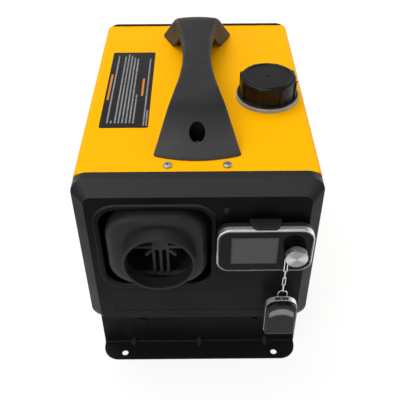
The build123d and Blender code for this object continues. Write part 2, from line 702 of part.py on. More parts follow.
# =============================== hot-air outlet ===============================
MOUTH = FACE + OUTLET_OUT                     # spigot's mouth
SPIGOT_ROOT = MOUTH - OUTLET_LEN
COWL_RIM = 2.0                                # cowl's flange on the heater's shell
HOOD_START = FACE - 1.0                       # end of the hood's straight part
HOOD_BLEND = 6.5                              # from there the hood begins to close in
HOOD_EASE = 2.5


def hood_outline(inset):
    """Hood's rounded square on the plane of the face behind it, moved in by inset."""
    with BuildSketch() as made:
        with Locations((DUCT_X, AXIS_Z)):
            RectangleRounded(HOOD_W - 2 * inset, HOOD_H - 2 * inset, HOOD_R - inset)
    return made.sketch


with BuildPart() as outlet_cowl:
    for wall, collar, mode in ((0.0, HOOD_COLLAR, Mode.ADD), (COWL_WALL, 0.0, Mode.SUBTRACT)):
        with BuildSketch(front(SHELL_FRONT)):
            add(hood_outline(wall))
        extrude(amount=HOOD_START - SHELL_FRONT, mode=mode)
        with BuildSketch(front(HOOD_START)):
            add(hood_outline(wall))
        with BuildSketch(front(HOOD_START + HOOD_BLEND)):
            add(hood_outline(wall + HOOD_EASE))
        with BuildSketch(front(SPIGOT_ROOT)):
            with Locations((AXIS_X, AXIS_Z)):
                Circle(OUTLET_R + collar - wall)
        loft(ruled=mode == Mode.SUBTRACT, mode=mode)
        with BuildSketch(front(SPIGOT_ROOT)):
            with Locations((AXIS_X, AXIS_Z)):
                Circle(OUTLET_R - wall)
        extrude(amount=OUTLET_LEN, mode=mode)
    with BuildSketch(front(SHELL_FRONT)):
        add(hood_outline(-COWL_RIM))
        add(hood_outline(COWL_WALL), mode=Mode.SUBTRACT)
    extrude(amount=COWL_WALL)
    fillet(outlet_cowl.edges().group_by(Axis.Y)[0], 0.9)
write(outlet_cowl, "outlet_cowl")

# Guard inside the hood: a hub, three bars down, two to each side and four short stubs.
GUARD_Y = MOUTH - 30.0                        # guard's front
GUARD_T = 5.0
GUARD_RING = 2.5
HUB_R = 8.5
STUB = 23.0                                   # stubs' reach from the hub's centre
BAR = 3.0
GUARD_IN = COWL_WALL + 0.1
with BuildPart() as outlet_guard:
    with BuildSketch(front(GUARD_Y)):
        add(hood_outline(GUARD_IN))
        add(hood_outline(GUARD_IN + GUARD_RING), mode=Mode.SUBTRACT)
        with Locations((AXIS_X, AXIS_Z)):
            Circle(HUB_R)
        for bar_x in (-7.5, 0.0, 7.5):
            with Locations((AXIS_X + bar_x, AXIS_Z)):
                Rectangle(BAR, HOOD_H / 2 - GUARD_IN - 1.0, align=(Align.CENTER, Align.MAX))
        for bar_z in (-4.0, 4.0):
            with Locations((DUCT_X, AXIS_Z + bar_z)):
                Rectangle(HOOD_W - 2 * GUARD_IN - 2.0, BAR)
        for turn in (45.0, 135.0):
            with Locations((AXIS_X, AXIS_Z)):
                Rectangle(2 * STUB, BAR, rotation=turn)
    extrude(amount=-GUARD_T)
write(outlet_guard, "outlet_guard")

# =============================== heater unit ===============================
BOARD_RISE = 44.0                             # control board above the axis
BOARD_W = 60.0
BOARD_L = 32.0
BOARD_T = 1.6
BOARD_Y = MOTOR_Y + MOTOR_L / 2 + 3.0
FRONT_BORE = 46.0                             # openings in the shell's two ends
REAR_BORE = 50.0
PLUG_R = 4.0
PLUG_Y = BLOWER_Y - 20.0
LINE_X = AXIS_X - 20.0                        # fuel line's end in the exchanger's foot
LINE_Y = BOSS_Y + BOSS_L / 2 - 12.0


def shell_half(way):
    """Half of the heater's moulded shell; way is -1 for the lower and 1 for the upper."""
    length = SHELL_FRONT + SHELL_REAR
    with BuildPart() as made:
        with BuildSketch(front(SHELL_FRONT)):
            with Locations((AXIS_X, AXIS_Z)):
                RectangleRounded(SHELL_W, SHELL_H, SHELL_R)
        extrude(amount=-length)
        with BuildSketch(front(SHELL_FRONT - SHELL_WALL)):
            with Locations((AXIS_X, AXIS_Z)):
                RectangleRounded(
                    SHELL_W - 2 * SHELL_WALL,
                    SHELL_H - 2 * SHELL_WALL,
                    SHELL_R - SHELL_WALL,
                )
        extrude(amount=2 * SHELL_WALL - length, mode=Mode.SUBTRACT)
        for bore, face, way_in in ((FRONT_BORE, SHELL_FRONT, -1), (REAR_BORE, -SHELL_REAR, 1)):
            with BuildSketch(front(face)):
                with Locations((AXIS_X, AXIS_Z)):
                    Circle(bore)
            extrude(amount=way_in * SHELL_WALL, mode=Mode.SUBTRACT)
        with BuildSketch(front(SHELL_FRONT)):
            with Locations((AXIS_X, AXIS_Z - way * SHELL_H / 2)):
                Rectangle(2 * SHELL_W, SHELL_H)
        extrude(amount=-length, mode=Mode.SUBTRACT)
    return made.part


with BuildPart() as heater_shell_lower:
    add(shell_half(-1))
    with BuildSketch(Plane.XY.offset(AXIS_Z - SHELL_H / 2)):
        with Locations((AXIS_X, BOSS_Y)):
            Rectangle(BOSS_W + 2 * GAP, BOSS_L + 2 * GAP)
        with Locations((AXIS_X, INTAKE_Y)):
            Circle(INTAKE_R - PIPE_STEP + PIPE_GAP)
    extrude(amount=SHELL_WALL, mode=Mode.SUBTRACT)
write(heater_shell_lower, "heater_shell_lower")

with BuildPart() as heater_shell_upper:
    add(shell_half(1))
    with BuildSketch(Plane.XY.offset(AXIS_Z + BOARD_RISE + BOARD_T)):
        with Locations((AXIS_X, BOARD_Y)):
            with GridLocations(BOARD_W - 10.0, BOARD_L - 10.0, 2, 2):
                Circle(3.0)
    extrude(amount=SHELL_H / 2 - BOARD_RISE - BOARD_T - SHELL_WALL)
write(heater_shell_upper, "heater_shell_upper")

CORE_FRONT = SHELL_FRONT - 14.0               # exchanger's closed front end
RIM_T = 4.0                                   # burner's mounting rim
with BuildPart() as heat_exchanger:
    with BuildSketch(front(CORE_FRONT)):
        with Locations((AXIS_X, AXIS_Z)):
            Circle(CORE_R)
    extrude(amount=-(CORE_FRONT + BLOWER_Y))
    with BuildSketch(front(CORE_FRONT - 6.0)) as fins:
        with Locations((AXIS_X, AXIS_Z)):
            with PolarLocations((CORE_R + FIN_R) / 2 - 0.5, FIN_COUNT):
                Rectangle(FIN_R - CORE_R + 1.0, FIN_T)
    extrude(amount=-(CORE_FRONT - 6.0 + BLOWER_Y - 8.0))
    with BuildSketch(Plane.XY.offset(STAND_TOP)):
        with Locations((AXIS_X, BOSS_Y)):
            Rectangle(BOSS_W, BOSS_L)
    extrude(amount=AXIS_Z - STAND_TOP - CORE_R + 16.0)
    with BuildSketch(front(CORE_FRONT - CORE_WALL)):
        with Locations((AXIS_X, AXIS_Z)):
            Circle(CORE_R - CORE_WALL)
    extrude(amount=-(CORE_FRONT + BLOWER_Y), mode=Mode.SUBTRACT)
    with BuildSketch(Plane.XY.offset(STAND_TOP)):
        with Locations((AXIS_X, EXHAUST_Y)):
            Circle(EXHAUST_R - PIPE_STEP - PIPE_WALL)
    extrude(amount=AXIS_Z - STAND_TOP - CORE_R + CORE_WALL + 8.0, mode=Mode.SUBTRACT)
    with BuildSketch(Plane.XY.offset(AXIS_Z + CORE_R + 0.2)):
        with Locations((AXIS_X, PLUG_Y)):
            Circle(PLUG_R + 4.0)
    extrude(amount=FIN_R - CORE_R, mode=Mode.SUBTRACT)
    with BuildSketch(Plane.XY.offset(AXIS_Z)):
        with Locations((AXIS_X, PLUG_Y)):
            Circle(PLUG_R + RUN_GAP)
    extrude(amount=FIN_R, mode=Mode.SUBTRACT)
write(heat_exchanger, "heat_exchanger")

with BuildPart() as burner_tube:
    with BuildSketch(front(-BLOWER_Y)):
        with Locations((AXIS_X, AXIS_Z)):
            Circle(CORE_R - CORE_WALL - GAP)
    extrude(amount=RIM_T)
    with BuildSketch(front(-BLOWER_Y)):
        with Locations((AXIS_X, AXIS_Z)):
            Circle(BURNER_R)
    extrude(amount=BURNER_LONG)
    with BuildSketch(front(RIM_T - BLOWER_Y)):
        with Locations((AXIS_X, AXIS_Z)):
            Circle(BURNER_R - 2.0)
    extrude(amount=BURNER_LONG, mode=Mode.SUBTRACT)
    with BuildSketch(front(-BLOWER_Y)):
        with Locations((AXIS_X, AXIS_Z)):
            Circle(AIR_PORT_R)
    extrude(amount=RIM_T, mode=Mode.SUBTRACT)
    with BuildSketch(Plane.XY.offset(AXIS_Z)):
        with Locations((AXIS_X, PLUG_Y)):
            Circle(PLUG_R + GAP)
    extrude(amount=BURNER_R, mode=Mode.SUBTRACT)
    for ring_y in (30.0, 50.0, 70.0):
        for turn in range(0, 180, 30):
            hole_axis = Plane(
                origin=(AXIS_X, BLOWER_Y - ring_y, AXIS_Z),
                x_dir=(0, 1, 0),
                z_dir=(math.cos(math.radians(turn + 15)), 0, math.sin(math.radians(turn + 15))),
            )
            with BuildSketch(hole_axis):
                Circle(2.0)
            extrude(amount=BURNER_R, both=True, mode=Mode.SUBTRACT)
write(burner_tube, "burner_tube")

with BuildPart() as glow_plug:
    with BuildSketch(Plane.XY.offset(AXIS_Z + 14.0)):
        with Locations((AXIS_X, PLUG_Y)):
            Circle(PLUG_R)
    extrude(amount=CORE_R - 14.0 + 0.2)
    with BuildSketch(Plane.XY.offset(AXIS_Z + CORE_R + 0.2)):
        with Locations((AXIS_X, PLUG_Y)):
            RegularPolygon(PLUG_R + 3.0, 6)
    extrude(amount=5.0)
    with BuildSketch(Plane.XY.offset(AXIS_Z + CORE_R + 5.2)):
        with Locations((AXIS_X, PLUG_Y)):
            Circle(2.0)
    extrude(amount=4.0)
write(glow_plug, "glow_plug")

POCKET_R = 34.0
POCKET_FRONT = 4.0
POCKET_T = 10.0
AIR_RISE = 14.0                               # boss, up into the plate
with BuildPart() as blower_plate:
    with BuildSketch(front(-BLOWER_Y)):
        with Locations((AXIS_X, AXIS_Z)):
            Circle(BLOWER_R)
    extrude(amount=-BLOWER_T)
    with BuildSketch(Plane.XY.offset(AIR_BOSS_Z)):
        with Locations((AXIS_X, INTAKE_Y)):
            Circle(AIR_BOSS_R)
    extrude(amount=AIR_RISE)
    with BuildSketch(front(-BLOWER_Y - POCKET_FRONT)):
        with Locations((AXIS_X, AXIS_Z)):
            Circle(POCKET_R)
    extrude(amount=-POCKET_T, mode=Mode.SUBTRACT)
    with BuildSketch(front(-BLOWER_Y)):
        with Locations((AXIS_X, AXIS_Z)):
            Circle(AIR_PORT_R)
    extrude(amount=-POCKET_FRONT, mode=Mode.SUBTRACT)
    with BuildSketch(front(-BLOWER_Y)):
        with Locations((AXIS_X, AXIS_Z)):
            Circle(SHAFT_R + RUN_GAP)
    extrude(amount=-BLOWER_T, mode=Mode.SUBTRACT)
    with BuildSketch(Plane.XY.offset(AIR_BOSS_Z)):
        with Locations((AXIS_X, INTAKE_Y)):
            Circle(AIR_BORE_R)
    extrude(amount=AIR_RISE + 2.0, mode=Mode.SUBTRACT)
write(blower_plate, "blower_plate")

with BuildPart() as motor_body:
    with BuildSketch(front(-MOTOR_Y)):
        with Locations((AXIS_X, AXIS_Z)):
            Circle(MOTOR_R)
            Circle(SHAFT_R + RUN_GAP, mode=Mode.SUBTRACT)
    extrude(amount=-MOTOR_L)
    fillet(motor_body.edges().group_by(Axis.Y)[-1].sort_by(SortBy.RADIUS)[-1], 3.0)
write(motor_body, "motor_body")

with BuildPart() as motor_shaft:
    with BuildSketch(front(-BLOWER_Y - POCKET_FRONT - 0.5)):
        with Locations((AXIS_X, AXIS_Z)):
            Circle(SHAFT_R)
    extrude(amount=BLOWER_Y + POCKET_FRONT + 0.5 - FAN_Y - FAN_T - 3.0)
write(motor_shaft, "motor_shaft")

with BuildPart() as air_fan:
    with BuildSketch(front(-FAN_Y)):
        with Locations((AXIS_X, AXIS_Z)):
            Circle(14.0)
    extrude(amount=-FAN_T)
    for blade in range(FAN_BLADES):
        turn = math.radians(360.0 / FAN_BLADES * blade)
        root = Plane(
            origin=(
                AXIS_X + 12.0 * math.cos(turn),
                FAN_Y + FAN_T / 2,
                AXIS_Z + 12.0 * math.sin(turn),
            ),
            x_dir=(0, 1, 0),
            z_dir=(math.cos(turn), 0, math.sin(turn)),
        )
        with BuildSketch(root):
            Rectangle(FAN_T - 4.0, 2.0, rotation=35.0)
        extrude(amount=FAN_R - 12.5)
    with BuildSketch(front(-FAN_Y)):
        with Locations((AXIS_X, AXIS_Z)):
            Circle(SHAFT_R + RUN_GAP)
    extrude(amount=-FAN_T, mode=Mode.SUBTRACT)
write(air_fan, "air_fan")

BURNER_FAN_R = POCKET_R - 2.0
BURNER_FAN_Y = BLOWER_Y + POCKET_FRONT + 1.0
with BuildPart() as burner_fan:
    with BuildSketch(front(-BURNER_FAN_Y)):
        with Locations((AXIS_X, AXIS_Z)):
            Circle(BURNER_FAN_R)
    extrude(amount=-2.0)
    with BuildSketch(front(-BURNER_FAN_Y)):
        with Locations((AXIS_X, AXIS_Z)):
            with PolarLocations(BURNER_FAN_R / 2 + 3.0, 16):
                Rectangle(BURNER_FAN_R - 8.0, 1.6)
            Circle(8.0)
    extrude(amount=-8.0)
    with BuildSketch(front(-BURNER_FAN_Y)):
        with Locations((AXIS_X, AXIS_Z)):
            Circle(SHAFT_R + RUN_GAP)
    extrude(amount=-8.0, mode=Mode.SUBTRACT)
write(burner_fan, "burner_fan")

with BuildPart() as control_board:
    with BuildSketch(Plane.XY.offset(AXIS_Z + BOARD_RISE)):
        with Locations((AXIS_X, BOARD_Y)):
            Rectangle(BOARD_W, BOARD_L)
    extrude(amount=BOARD_T)
    with BuildSketch(Plane.XY.offset(AXIS_Z + BOARD_RISE)):
        with Locations((AXIS_X - 16.0, BOARD_Y), (AXIS_X, BOARD_Y), (AXIS_X + 16.0, BOARD_Y)):
            Rectangle(10.0, 18.0)
    extrude(amount=-6.0)
write(control_board, "control_board")

# Stand: a folded channel that carries the heater on the tray.
STAND_W = 100.0
STAND_L = 100.0
STAND_FOOT = 12.0
with BuildPart() as heater_stand:
    with BuildSketch(front(STAND_L / 2 - BOSS_Y)) as channel:
        with Locations((AXIS_X, BASE_H)):
            Rectangle(STAND_W, STAND_TOP - BASE_H, align=(Align.CENTER, Align.MIN))
            Rectangle(
                STAND_W - 2 * PLATE,
                STAND_TOP - BASE_H - PLATE,
                align=(Align.CENTER, Align.MIN),
                mode=Mode.SUBTRACT,
            )
        for side in (-1, 1):
            with Locations((AXIS_X + side * (STAND_W + STAND_FOOT) / 2, BASE_H + PLATE / 2)):
                Rectangle(STAND_FOOT, PLATE)
    extrude(amount=-STAND_L)
    with BuildSketch(Plane.XY.offset(STAND_TOP)):
        with Locations((AXIS_X, EXHAUST_Y)):
            Circle(EXHAUST_R - PIPE_STEP + GAP)
        with Locations((LINE_X, LINE_Y)):
            Circle(LINE_R + GAP)
    extrude(amount=-PLATE, mode=Mode.SUBTRACT)
write(heater_stand, "heater_stand")

# Exhaust and combustion-air pipes: their wider ends under the tray take the two hoses.


def hose_pipe(x, y, top, radius):
    """Straight pipe from the heater down through the tray, with a wider end for a hose."""
    with BuildPart() as made:
        with BuildSketch(Plane.XY.offset(PIPE_END_Z)):
            with Locations((x, y)):
                Circle(radius)
        extrude(amount=PIPE_GRIP)
        with BuildSketch(Plane.XY.offset(PIPE_END_Z)):
            with Locations((x, y)):
                Circle(radius - PIPE_STEP)
        extrude(amount=top - PIPE_END_Z)
        with BuildSketch(Plane.XY.offset(PIPE_END_Z)):
            with Locations((x, y)):
                Circle(radius - PIPE_STEP - PIPE_WALL)
        extrude(amount=top - PIPE_END_Z, mode=Mode.SUBTRACT)
    return made


exhaust_pipe = hose_pipe(AXIS_X, EXHAUST_Y, STAND_TOP, EXHAUST_R)
write(exhaust_pipe, "exhaust_pipe")

air_pipe = hose_pipe(AXIS_X, INTAKE_Y, AIR_BOSS_Z, INTAKE_R)
with BuildPart() as intake_pipe:
    add(air_pipe.part)
    with BuildSketch(Plane.XY.offset(AIR_BOSS_Z)):
        with Locations((AXIS_X, INTAKE_Y)):
            Circle(INTAKE_R - PIPE_STEP)
            Circle(AIR_BORE_R, mode=Mode.SUBTRACT)
    extrude(amount=-PLATE)
write(intake_pipe, "intake_pipe")

# Air inlet: collar from the heater's shell to the rear panel, with a barred face.
with BuildPart() as inlet_grille:
    with BuildSketch(front(-SHELL_REAR)):
        with Locations((AXIS_X, AXIS_Z)):
            Circle(INLET_R + INLET_WALL)
            Circle(INLET_R, mode=Mode.SUBTRACT)
    extrude(amount=-(REAR_FACE - SHELL_REAR))
    with BuildSketch(front(-REAR_FACE)):
        with Locations((AXIS_X, AXIS_Z)):
            Circle(INLET_R + 8.0)
            Circle(INLET_R, mode=Mode.SUBTRACT)
            for row in range(-4, 5):
                bar_z = row * 10.5
                reach = math.sqrt(INLET_R**2 - bar_z**2) + 1.0
                with Locations((0, bar_z)):
                    Rectangle(2 * reach, 3.5)
            Rectangle(3.5, 2 * INLET_R + 2.0)
    extrude(amount=-2.5)
write(inlet_grille, "inlet_grille")

with BuildPart() as power_socket:
    with BuildSketch(front(-REAR_FACE)):
        with Locations((SOCKET_X, SOCKET_Z)):
            RectangleRounded(SOCKET_W + 8.0, SOCKET_H + 8.0, 3.0)
    extrude(amount=-2.5)
    with BuildSketch(front(-REAR_FACE)):
        with Locations((SOCKET_X, SOCKET_Z)):
            Rectangle(SOCKET_W - 2 * GAP, SOCKET_H - 2 * GAP)
    extrude(amount=20.0)
    with BuildSketch(front(-REAR_FACE - 2.5)):
        with Locations((SOCKET_X, SOCKET_Z)):
            Rectangle(SOCKET_W - 6.0, SOCKET_H - 6.0)
    extrude(amount=16.0, mode=Mode.SUBTRACT)
    with BuildSketch(front(-REAR_FACE + 15.0)):
        with Locations((SOCKET_X - 5.0, SOCKET_Z), (SOCKET_X + 5.0, SOCKET_Z)):
            Circle(1.5)
    extrude(amount=-14.0)
write(power_socket, "power_socket")

# =============================== fuel ===============================
TANK_W = TANK_RIGHT - TANK_LEFT
TANK_X = (TANK_LEFT + TANK_RIGHT) / 2
TANK_L = BOX_L - TANK_FRONT_IN - TANK_REAR_IN
TANK_Y = (TANK_FRONT_IN - TANK_REAR_IN) / 2
OUTLET_HOLE_R = 4.0
cap_axis = Axis((CAP_X, CAP_Y, 0), (0, 0, 1))
cap_plane = Plane(origin=(CAP_X, CAP_Y, 0), x_dir=(1, 0, 0), z_dir=(0, -1, 0))
THREAD_TURNS = 1.75
THREAD_W = 2.2
THREAD_START = CAP_Z + 1.3                     # middle of the cap's ridge at its lower end


def thread_ridge(root_r, crest_r, start, turns):
    """Helical ridge of a screw thread from root to crest, about the cap's axis."""
    with BuildPart() as made:
        with BuildLine():
            Helix(PITCH, PITCH * turns, root_r, center=(CAP_X, CAP_Y, start))
        section = Plane(origin=(CAP_X + root_r, CAP_Y, start), x_dir=(1, 0, 0), z_dir=(0, 1, 0))
        height = crest_r - root_r
        sunk = math.copysign(0.4, height)
        with BuildSketch(section):
            with BuildLine():
                Polyline(
                    (-sunk, -THREAD_W / 2),
                    (height, -THREAD_W / 4),
                    (height, THREAD_W / 4),
                    (-sunk, THREAD_W / 2),
                    close=True,
                )
            make_face()
        sweep(is_frenet=True)
    return made.part


with BuildPart() as fuel_tank:
    with BuildSketch(Plane.XY.offset(TANK_BOTTOM)):
        with Locations((TANK_X, TANK_Y)):
            RectangleRounded(TANK_W, TANK_L, TANK_R)
    extrude(amount=TANK_TOP - TANK_BOTTOM)
    fillet(fuel_tank.edges().group_by(Axis.Z)[-1], TANK_R / 2)
    fillet(fuel_tank.edges().group_by(Axis.Z)[0], TANK_R / 2)
    with BuildSketch(Plane.XY.offset(TANK_TOP - TANK_WALL)):
        with Locations((CAP_X, CAP_Y)):
            Circle(NECK_R)
    extrude(amount=NECK_TOP - TANK_TOP + TANK_WALL)
    with BuildSketch(Plane.XY.offset(TANK_BOTTOM + TANK_WALL)):
        with Locations((TANK_X, TANK_Y)):
            RectangleRounded(
                TANK_W - 2 * TANK_WALL,
                TANK_L - 2 * TANK_WALL,
                TANK_R - TANK_WALL,
            )
    extrude(amount=TANK_TOP - TANK_BOTTOM - 2 * TANK_WALL, mode=Mode.SUBTRACT)
    with BuildSketch(Plane.XY.offset(NECK_TOP)):
        with Locations((CAP_X, CAP_Y)):
            Circle(NECK_R - NECK_WALL)
    extrude(amount=TANK_TOP - TANK_WALL - NECK_TOP - 1.0, mode=Mode.SUBTRACT)
    with BuildSketch(Plane.YZ.offset(TANK_LEFT)):
        with Locations((FUEL_Y, FUEL_Z)):
            Circle(OUTLET_HOLE_R + RUN_GAP)
    extrude(amount=TANK_WALL, mode=Mode.SUBTRACT)
    add(thread_ridge(NECK_R, NECK_R + THREAD, THREAD_START + PITCH / 2, THREAD_TURNS))
write(fuel_tank, "fuel_tank")

with BuildPart() as tank_pads:
    with BuildSketch(Plane.XY.offset(BASE_H)):
        with Locations((TANK_X, TANK_Y)):
            with GridLocations(TANK_W - 44.0, TANK_L - 60.0, 2, 2):
                RectangleRounded(22.0, 22.0, 3.0)
    extrude(amount=PAD)
write(tank_pads, "tank_pads")

STRAP_T = 1.5
STRAP_W = 20.0
STRAP_Y = 50.0
STRAP_GAP = 0.2
STRAP_FOOT = 8.0
with BuildPart() as tank_strap:
    inner_w = TANK_W + 2 * STRAP_GAP
    with BuildSketch(front(STRAP_W / 2 - STRAP_Y)):
        with Locations((TANK_X, BASE_H)):
            Rectangle(
                inner_w + 2 * STRAP_T,
                TANK_TOP + STRAP_GAP + STRAP_T - BASE_H,
                align=(Align.CENTER, Align.MIN),
            )
            Rectangle(
                inner_w,
                TANK_TOP + STRAP_GAP - BASE_H,
                align=(Align.CENTER, Align.MIN),
                mode=Mode.SUBTRACT,
            )
        with Locations((TANK_LEFT - STRAP_GAP, BASE_H)):
            Rectangle(STRAP_FOOT, STRAP_T, align=(Align.MAX, Align.MIN))
        with Locations((TANK_RIGHT, BASE_H)):
            Rectangle(STRAP_FOOT, SKIN, align=(Align.MIN, Align.MIN), mode=Mode.SUBTRACT)
    extrude(amount=-STRAP_W)
write(tank_strap, "tank_strap")

# Tank outlet, filter and pump in line across the box, joined by two short hoses.
TIP_R = BARB_R + 0.4                          # barb's lip
HOSE_R = 5.0
BARB_L = 10.0
HEX_T = 4.0
FILTER_R = 9.0
FILTER_L = 20.0
FILTER_RIGHT = TANK_LEFT - HEX_T - BARB_L - 12.0
FILTER_LEFT = FILTER_RIGHT - FILTER_L
PUMP_RIGHT = FILTER_LEFT - 16.0
PUMP_LEFT = PUMP_RIGHT - PUMP_L


def across(x):
    """Sketch plane square to X at the fuel line's axis."""
    return Plane(origin=(x, FUEL_Y, FUEL_Z), x_dir=(0, 1, 0), z_dir=(1, 0, 0))


with BuildPart() as tank_outlet:
    with BuildSketch(across(TANK_LEFT)):
        RegularPolygon(7.0, 6)
    extrude(amount=-HEX_T)
    with BuildSketch(across(TANK_LEFT)):
        Circle(OUTLET_HOLE_R)
    extrude(amount=TANK_WALL)
    with BuildSketch(across(TANK_LEFT - HEX_T)):
        Circle(BARB_R)
    extrude(amount=-BARB_L)
    with BuildSketch(across(TANK_LEFT + TANK_WALL)):
        Circle(1.5)
    extrude(amount=-(TANK_WALL + HEX_T + BARB_L), mode=Mode.SUBTRACT)
write(tank_outlet, "tank_outlet")

with BuildPart() as fuel_filter:
    with BuildSketch(across(FILTER_LEFT)):
        Circle(FILTER_R)
    extrude(amount=FILTER_L)
    fillet(fuel_filter.edges(), 2.0)
    with BuildSketch(across(FILTER_LEFT - 7.0)):
        Circle(BARB_R)
    extrude(amount=FILTER_L + 14.0)
write(fuel_filter, "fuel_filter")

with BuildPart() as fuel_hoses:
    for left, right in (
        (FILTER_RIGHT + 1.0, TANK_LEFT - HEX_T - 1.0),
        (PUMP_RIGHT + 1.0, FILTER_LEFT - 1.0),
    ):
        with BuildSketch(across(left)):
            Circle(HOSE_R)
            Circle(BARB_R + RUN_GAP, mode=Mode.SUBTRACT)
        extrude(amount=right - left)
write(fuel_hoses, "fuel_hoses")

PLUNGER_L = 24.0
PLUNGER_ROOM = 1.0
with BuildPart() as pump_body:
    with BuildSketch(across(PUMP_LEFT)):
        Circle(PUMP_R)
    extrude(amount=PUMP_L)
    fillet(pump_body.edges(), 2.0)
    with BuildSketch(across(PUMP_RIGHT)):
        Circle(BARB_R)
    extrude(amount=7.0)
    with BuildSketch(across(PUMP_LEFT)):
        Circle(BARB_R)
    extrude(amount=-6.0)
    with BuildSketch(across(PUMP_LEFT + 16.0)):
        Circle(PLUNGER_R + RUN_GAP)
    extrude(amount=PLUNGER_L + PLUNGER_STROKE + 2 * PLUNGER_ROOM, mode=Mode.SUBTRACT)
write(pump_body, "pump_body")

with BuildPart() as pump_plunger:
    with BuildSketch(across(PUMP_LEFT + 16.0 + PLUNGER_ROOM)):
        Circle(PLUNGER_R)
        Circle(1.5, mode=Mode.SUBTRACT)
    extrude(amount=PLUNGER_L)
write(pump_plunger, "pump_plunger")

CLAMP_T = 4.5
CLAMP_W = 14.0
with BuildPart() as pump_clamp:
    with BuildSketch(across(PUMP_LEFT + PUMP_L / 2 - CLAMP_W / 2)):
        Circle(PUMP_R + CLAMP_T)
        with Locations((0, -FUEL_RISE / 2)):
            Rectangle(18.0, FUEL_RISE)
        with Locations((0, -FUEL_RISE + 1.5)):
            Rectangle(40.0, 3.0)
        Circle(PUMP_R + RUN_GAP, mode=Mode.SUBTRACT)
    extrude(amount=CLAMP_W)
write(pump_clamp, "pump_clamp")

# Fuel line from the pump to the exchanger's foot, arcs as large as its runs allow.
line_route = [
    (PUMP_LEFT - 6.0, FUEL_Y, FUEL_Z),
    (PUMP_LEFT - 20.0, FUEL_Y, FUEL_Z),
    (PUMP_LEFT - 19.0, FUEL_Y - 26.0, FUEL_Z + 4.0),
    (PUMP_LEFT + 2.0, FUEL_Y - 48.0, FUEL_Z + 6.0),
    (LINE_X - 12.0, LINE_Y + 26.0, FUEL_Z + 7.0),
    (LINE_X, LINE_Y, FUEL_Z + 10.0),
    (LINE_X, LINE_Y, STAND_TOP),
]


def bend_radii(route):
    """Each bend's radius: 0.45 of its shorter run over the tangent of half its turn."""
    points = [Vector(*point) for point in route]
    radii = []
    for before, here, after in zip(points, points[1:], points[2:]):
        turn = math.radians((here - before).get_angle(after - here))
        run = min((here - before).length, (after - here).length)
        radii.append(0.45 * run / math.tan(turn / 2))
    return radii


line_radii = bend_radii(line_route)
print("fuel line radii:", [round(radius, 1) for radius in line_radii])
with BuildPart() as fuel_line:
    with BuildLine() as line_path:
        FilletPolyline(*line_route, radius=line_radii)
    with BuildSketch(Plane(origin=line_path.line @ 0, z_dir=line_path.line % 0)):
        Circle(LINE_R)
    sweep()
line_length = sum(edge.length for edge in line_path.edges())
line_section = math.pi * LINE_R**2 * line_length
print("fuel line volume over section times length:", round(fuel_line.part.volume / line_section, 4))
write(fuel_line, "fuel_line")

with BuildPart() as filler_ring:
    hole_r = NECK_R + THREAD + THREAD_GAP
    with BuildSketch(Plane.XY.offset(BOX_TOP)):
        with Locations((CAP_X, CAP_Y)):
            Circle(RING_R)
    extrude(amount=RING_H)
    fillet(filler_ring.edges().group_by(Axis.Z)[-1], 1.5)
    with BuildSketch(Plane.XY.offset(BOX_TOP)):
        with Locations((CAP_X, CAP_Y)):
            Circle(hole_r + RING_WALL)
    extrude(amount=-RING_SKIRT)
    with BuildSketch(Plane.XY.offset(BOX_TOP - RING_SKIRT)):
        with Locations((CAP_X, CAP_Y)):
            Circle(hole_r)
    extrude(amount=RING_H + RING_SKIRT, mode=Mode.SUBTRACT)
write(filler_ring, "filler_ring")

CAP_TOP = CAP_Z + CAP_H
RIM_W = 2.2                                   # raised rim on the cap's top
RIM_H = 0.9
RIB_DEEP = 4.4                                # rib, partly sunk in the cap's body
RIB_W = 5.6
RIB_ROUND = 1.2
RIB_SHORT = 1.6                               # ribs end below the cap's top
with BuildPart() as fuel_cap:
    with BuildSketch(cap_plane):
        with BuildLine():
            FilletPolyline(
                (0, CAP_Z),
                (CAP_FLANGE_R, CAP_Z),
                (CAP_FLANGE_R, CAP_Z + CAP_FLANGE_H),
                (CAP_BODY_R, CAP_Z + CAP_FLANGE_H),
                (CAP_BODY_R, CAP_TOP - RIM_H),
                (CAP_RING_R + RIM_W / 2, CAP_TOP - RIM_H),
                (CAP_RING_R + RIM_W / 2, CAP_TOP),
                (CAP_RING_R - RIM_W / 2, CAP_TOP),
                (CAP_RING_R - RIM_W / 2, CAP_TOP - RIM_H),
                (0, CAP_TOP - RIM_H),
                radius=[0.6, 0.9, 0.9, 2.0, 0.4, 0.5, 0.5, 0.4],
            )
            Line((0, CAP_TOP - RIM_H), (0, CAP_Z))
        make_face()
    revolve(axis=cap_axis)
    with BuildSketch(Plane.XY.offset(CAP_Z)):
        with Locations((CAP_X, CAP_Y)):
            with PolarLocations(CAP_R - RIB_DEEP / 2, CAP_RIBS, start_angle=CAP_RIB_PHASE):
                RectangleRounded(RIB_DEEP, RIB_W, RIB_ROUND)
    extrude(amount=CAP_H - RIM_H - RIB_SHORT)
    with BuildSketch(Plane.XY.offset(CAP_TOP - RIM_H)):
        with Locations((CAP_X, CAP_Y)):
            Circle(1.6)
    extrude(amount=-0.8, mode=Mode.SUBTRACT)
    with BuildSketch(Plane.XY.offset(CAP_Z)):
        with Locations((CAP_X, CAP_Y)):
            Circle(NECK_R + THREAD + THREAD_GAP)
    extrude(amount=CAP_CEILING - CAP_Z, mode=Mode.SUBTRACT)
    add(
        thread_ridge(
            NECK_R + THREAD + THREAD_GAP,
            NECK_R + THREAD_GAP,
            THREAD_START,
            THREAD_TURNS,
        )
    )
write(fuel_cap, "fuel_cap")

with BuildPart() as cap_gasket:
    with BuildSketch(Plane.XY.offset(CAP_CEILING - GAP)):
        with Locations((CAP_X, CAP_Y)):
            Circle(NECK_R + THREAD)
            Circle(NECK_R - NECK_WALL - 1.0, mode=Mode.SUBTRACT)
    extrude(amount=-GASKET_T)
write(cap_gasket, "cap_gasket")

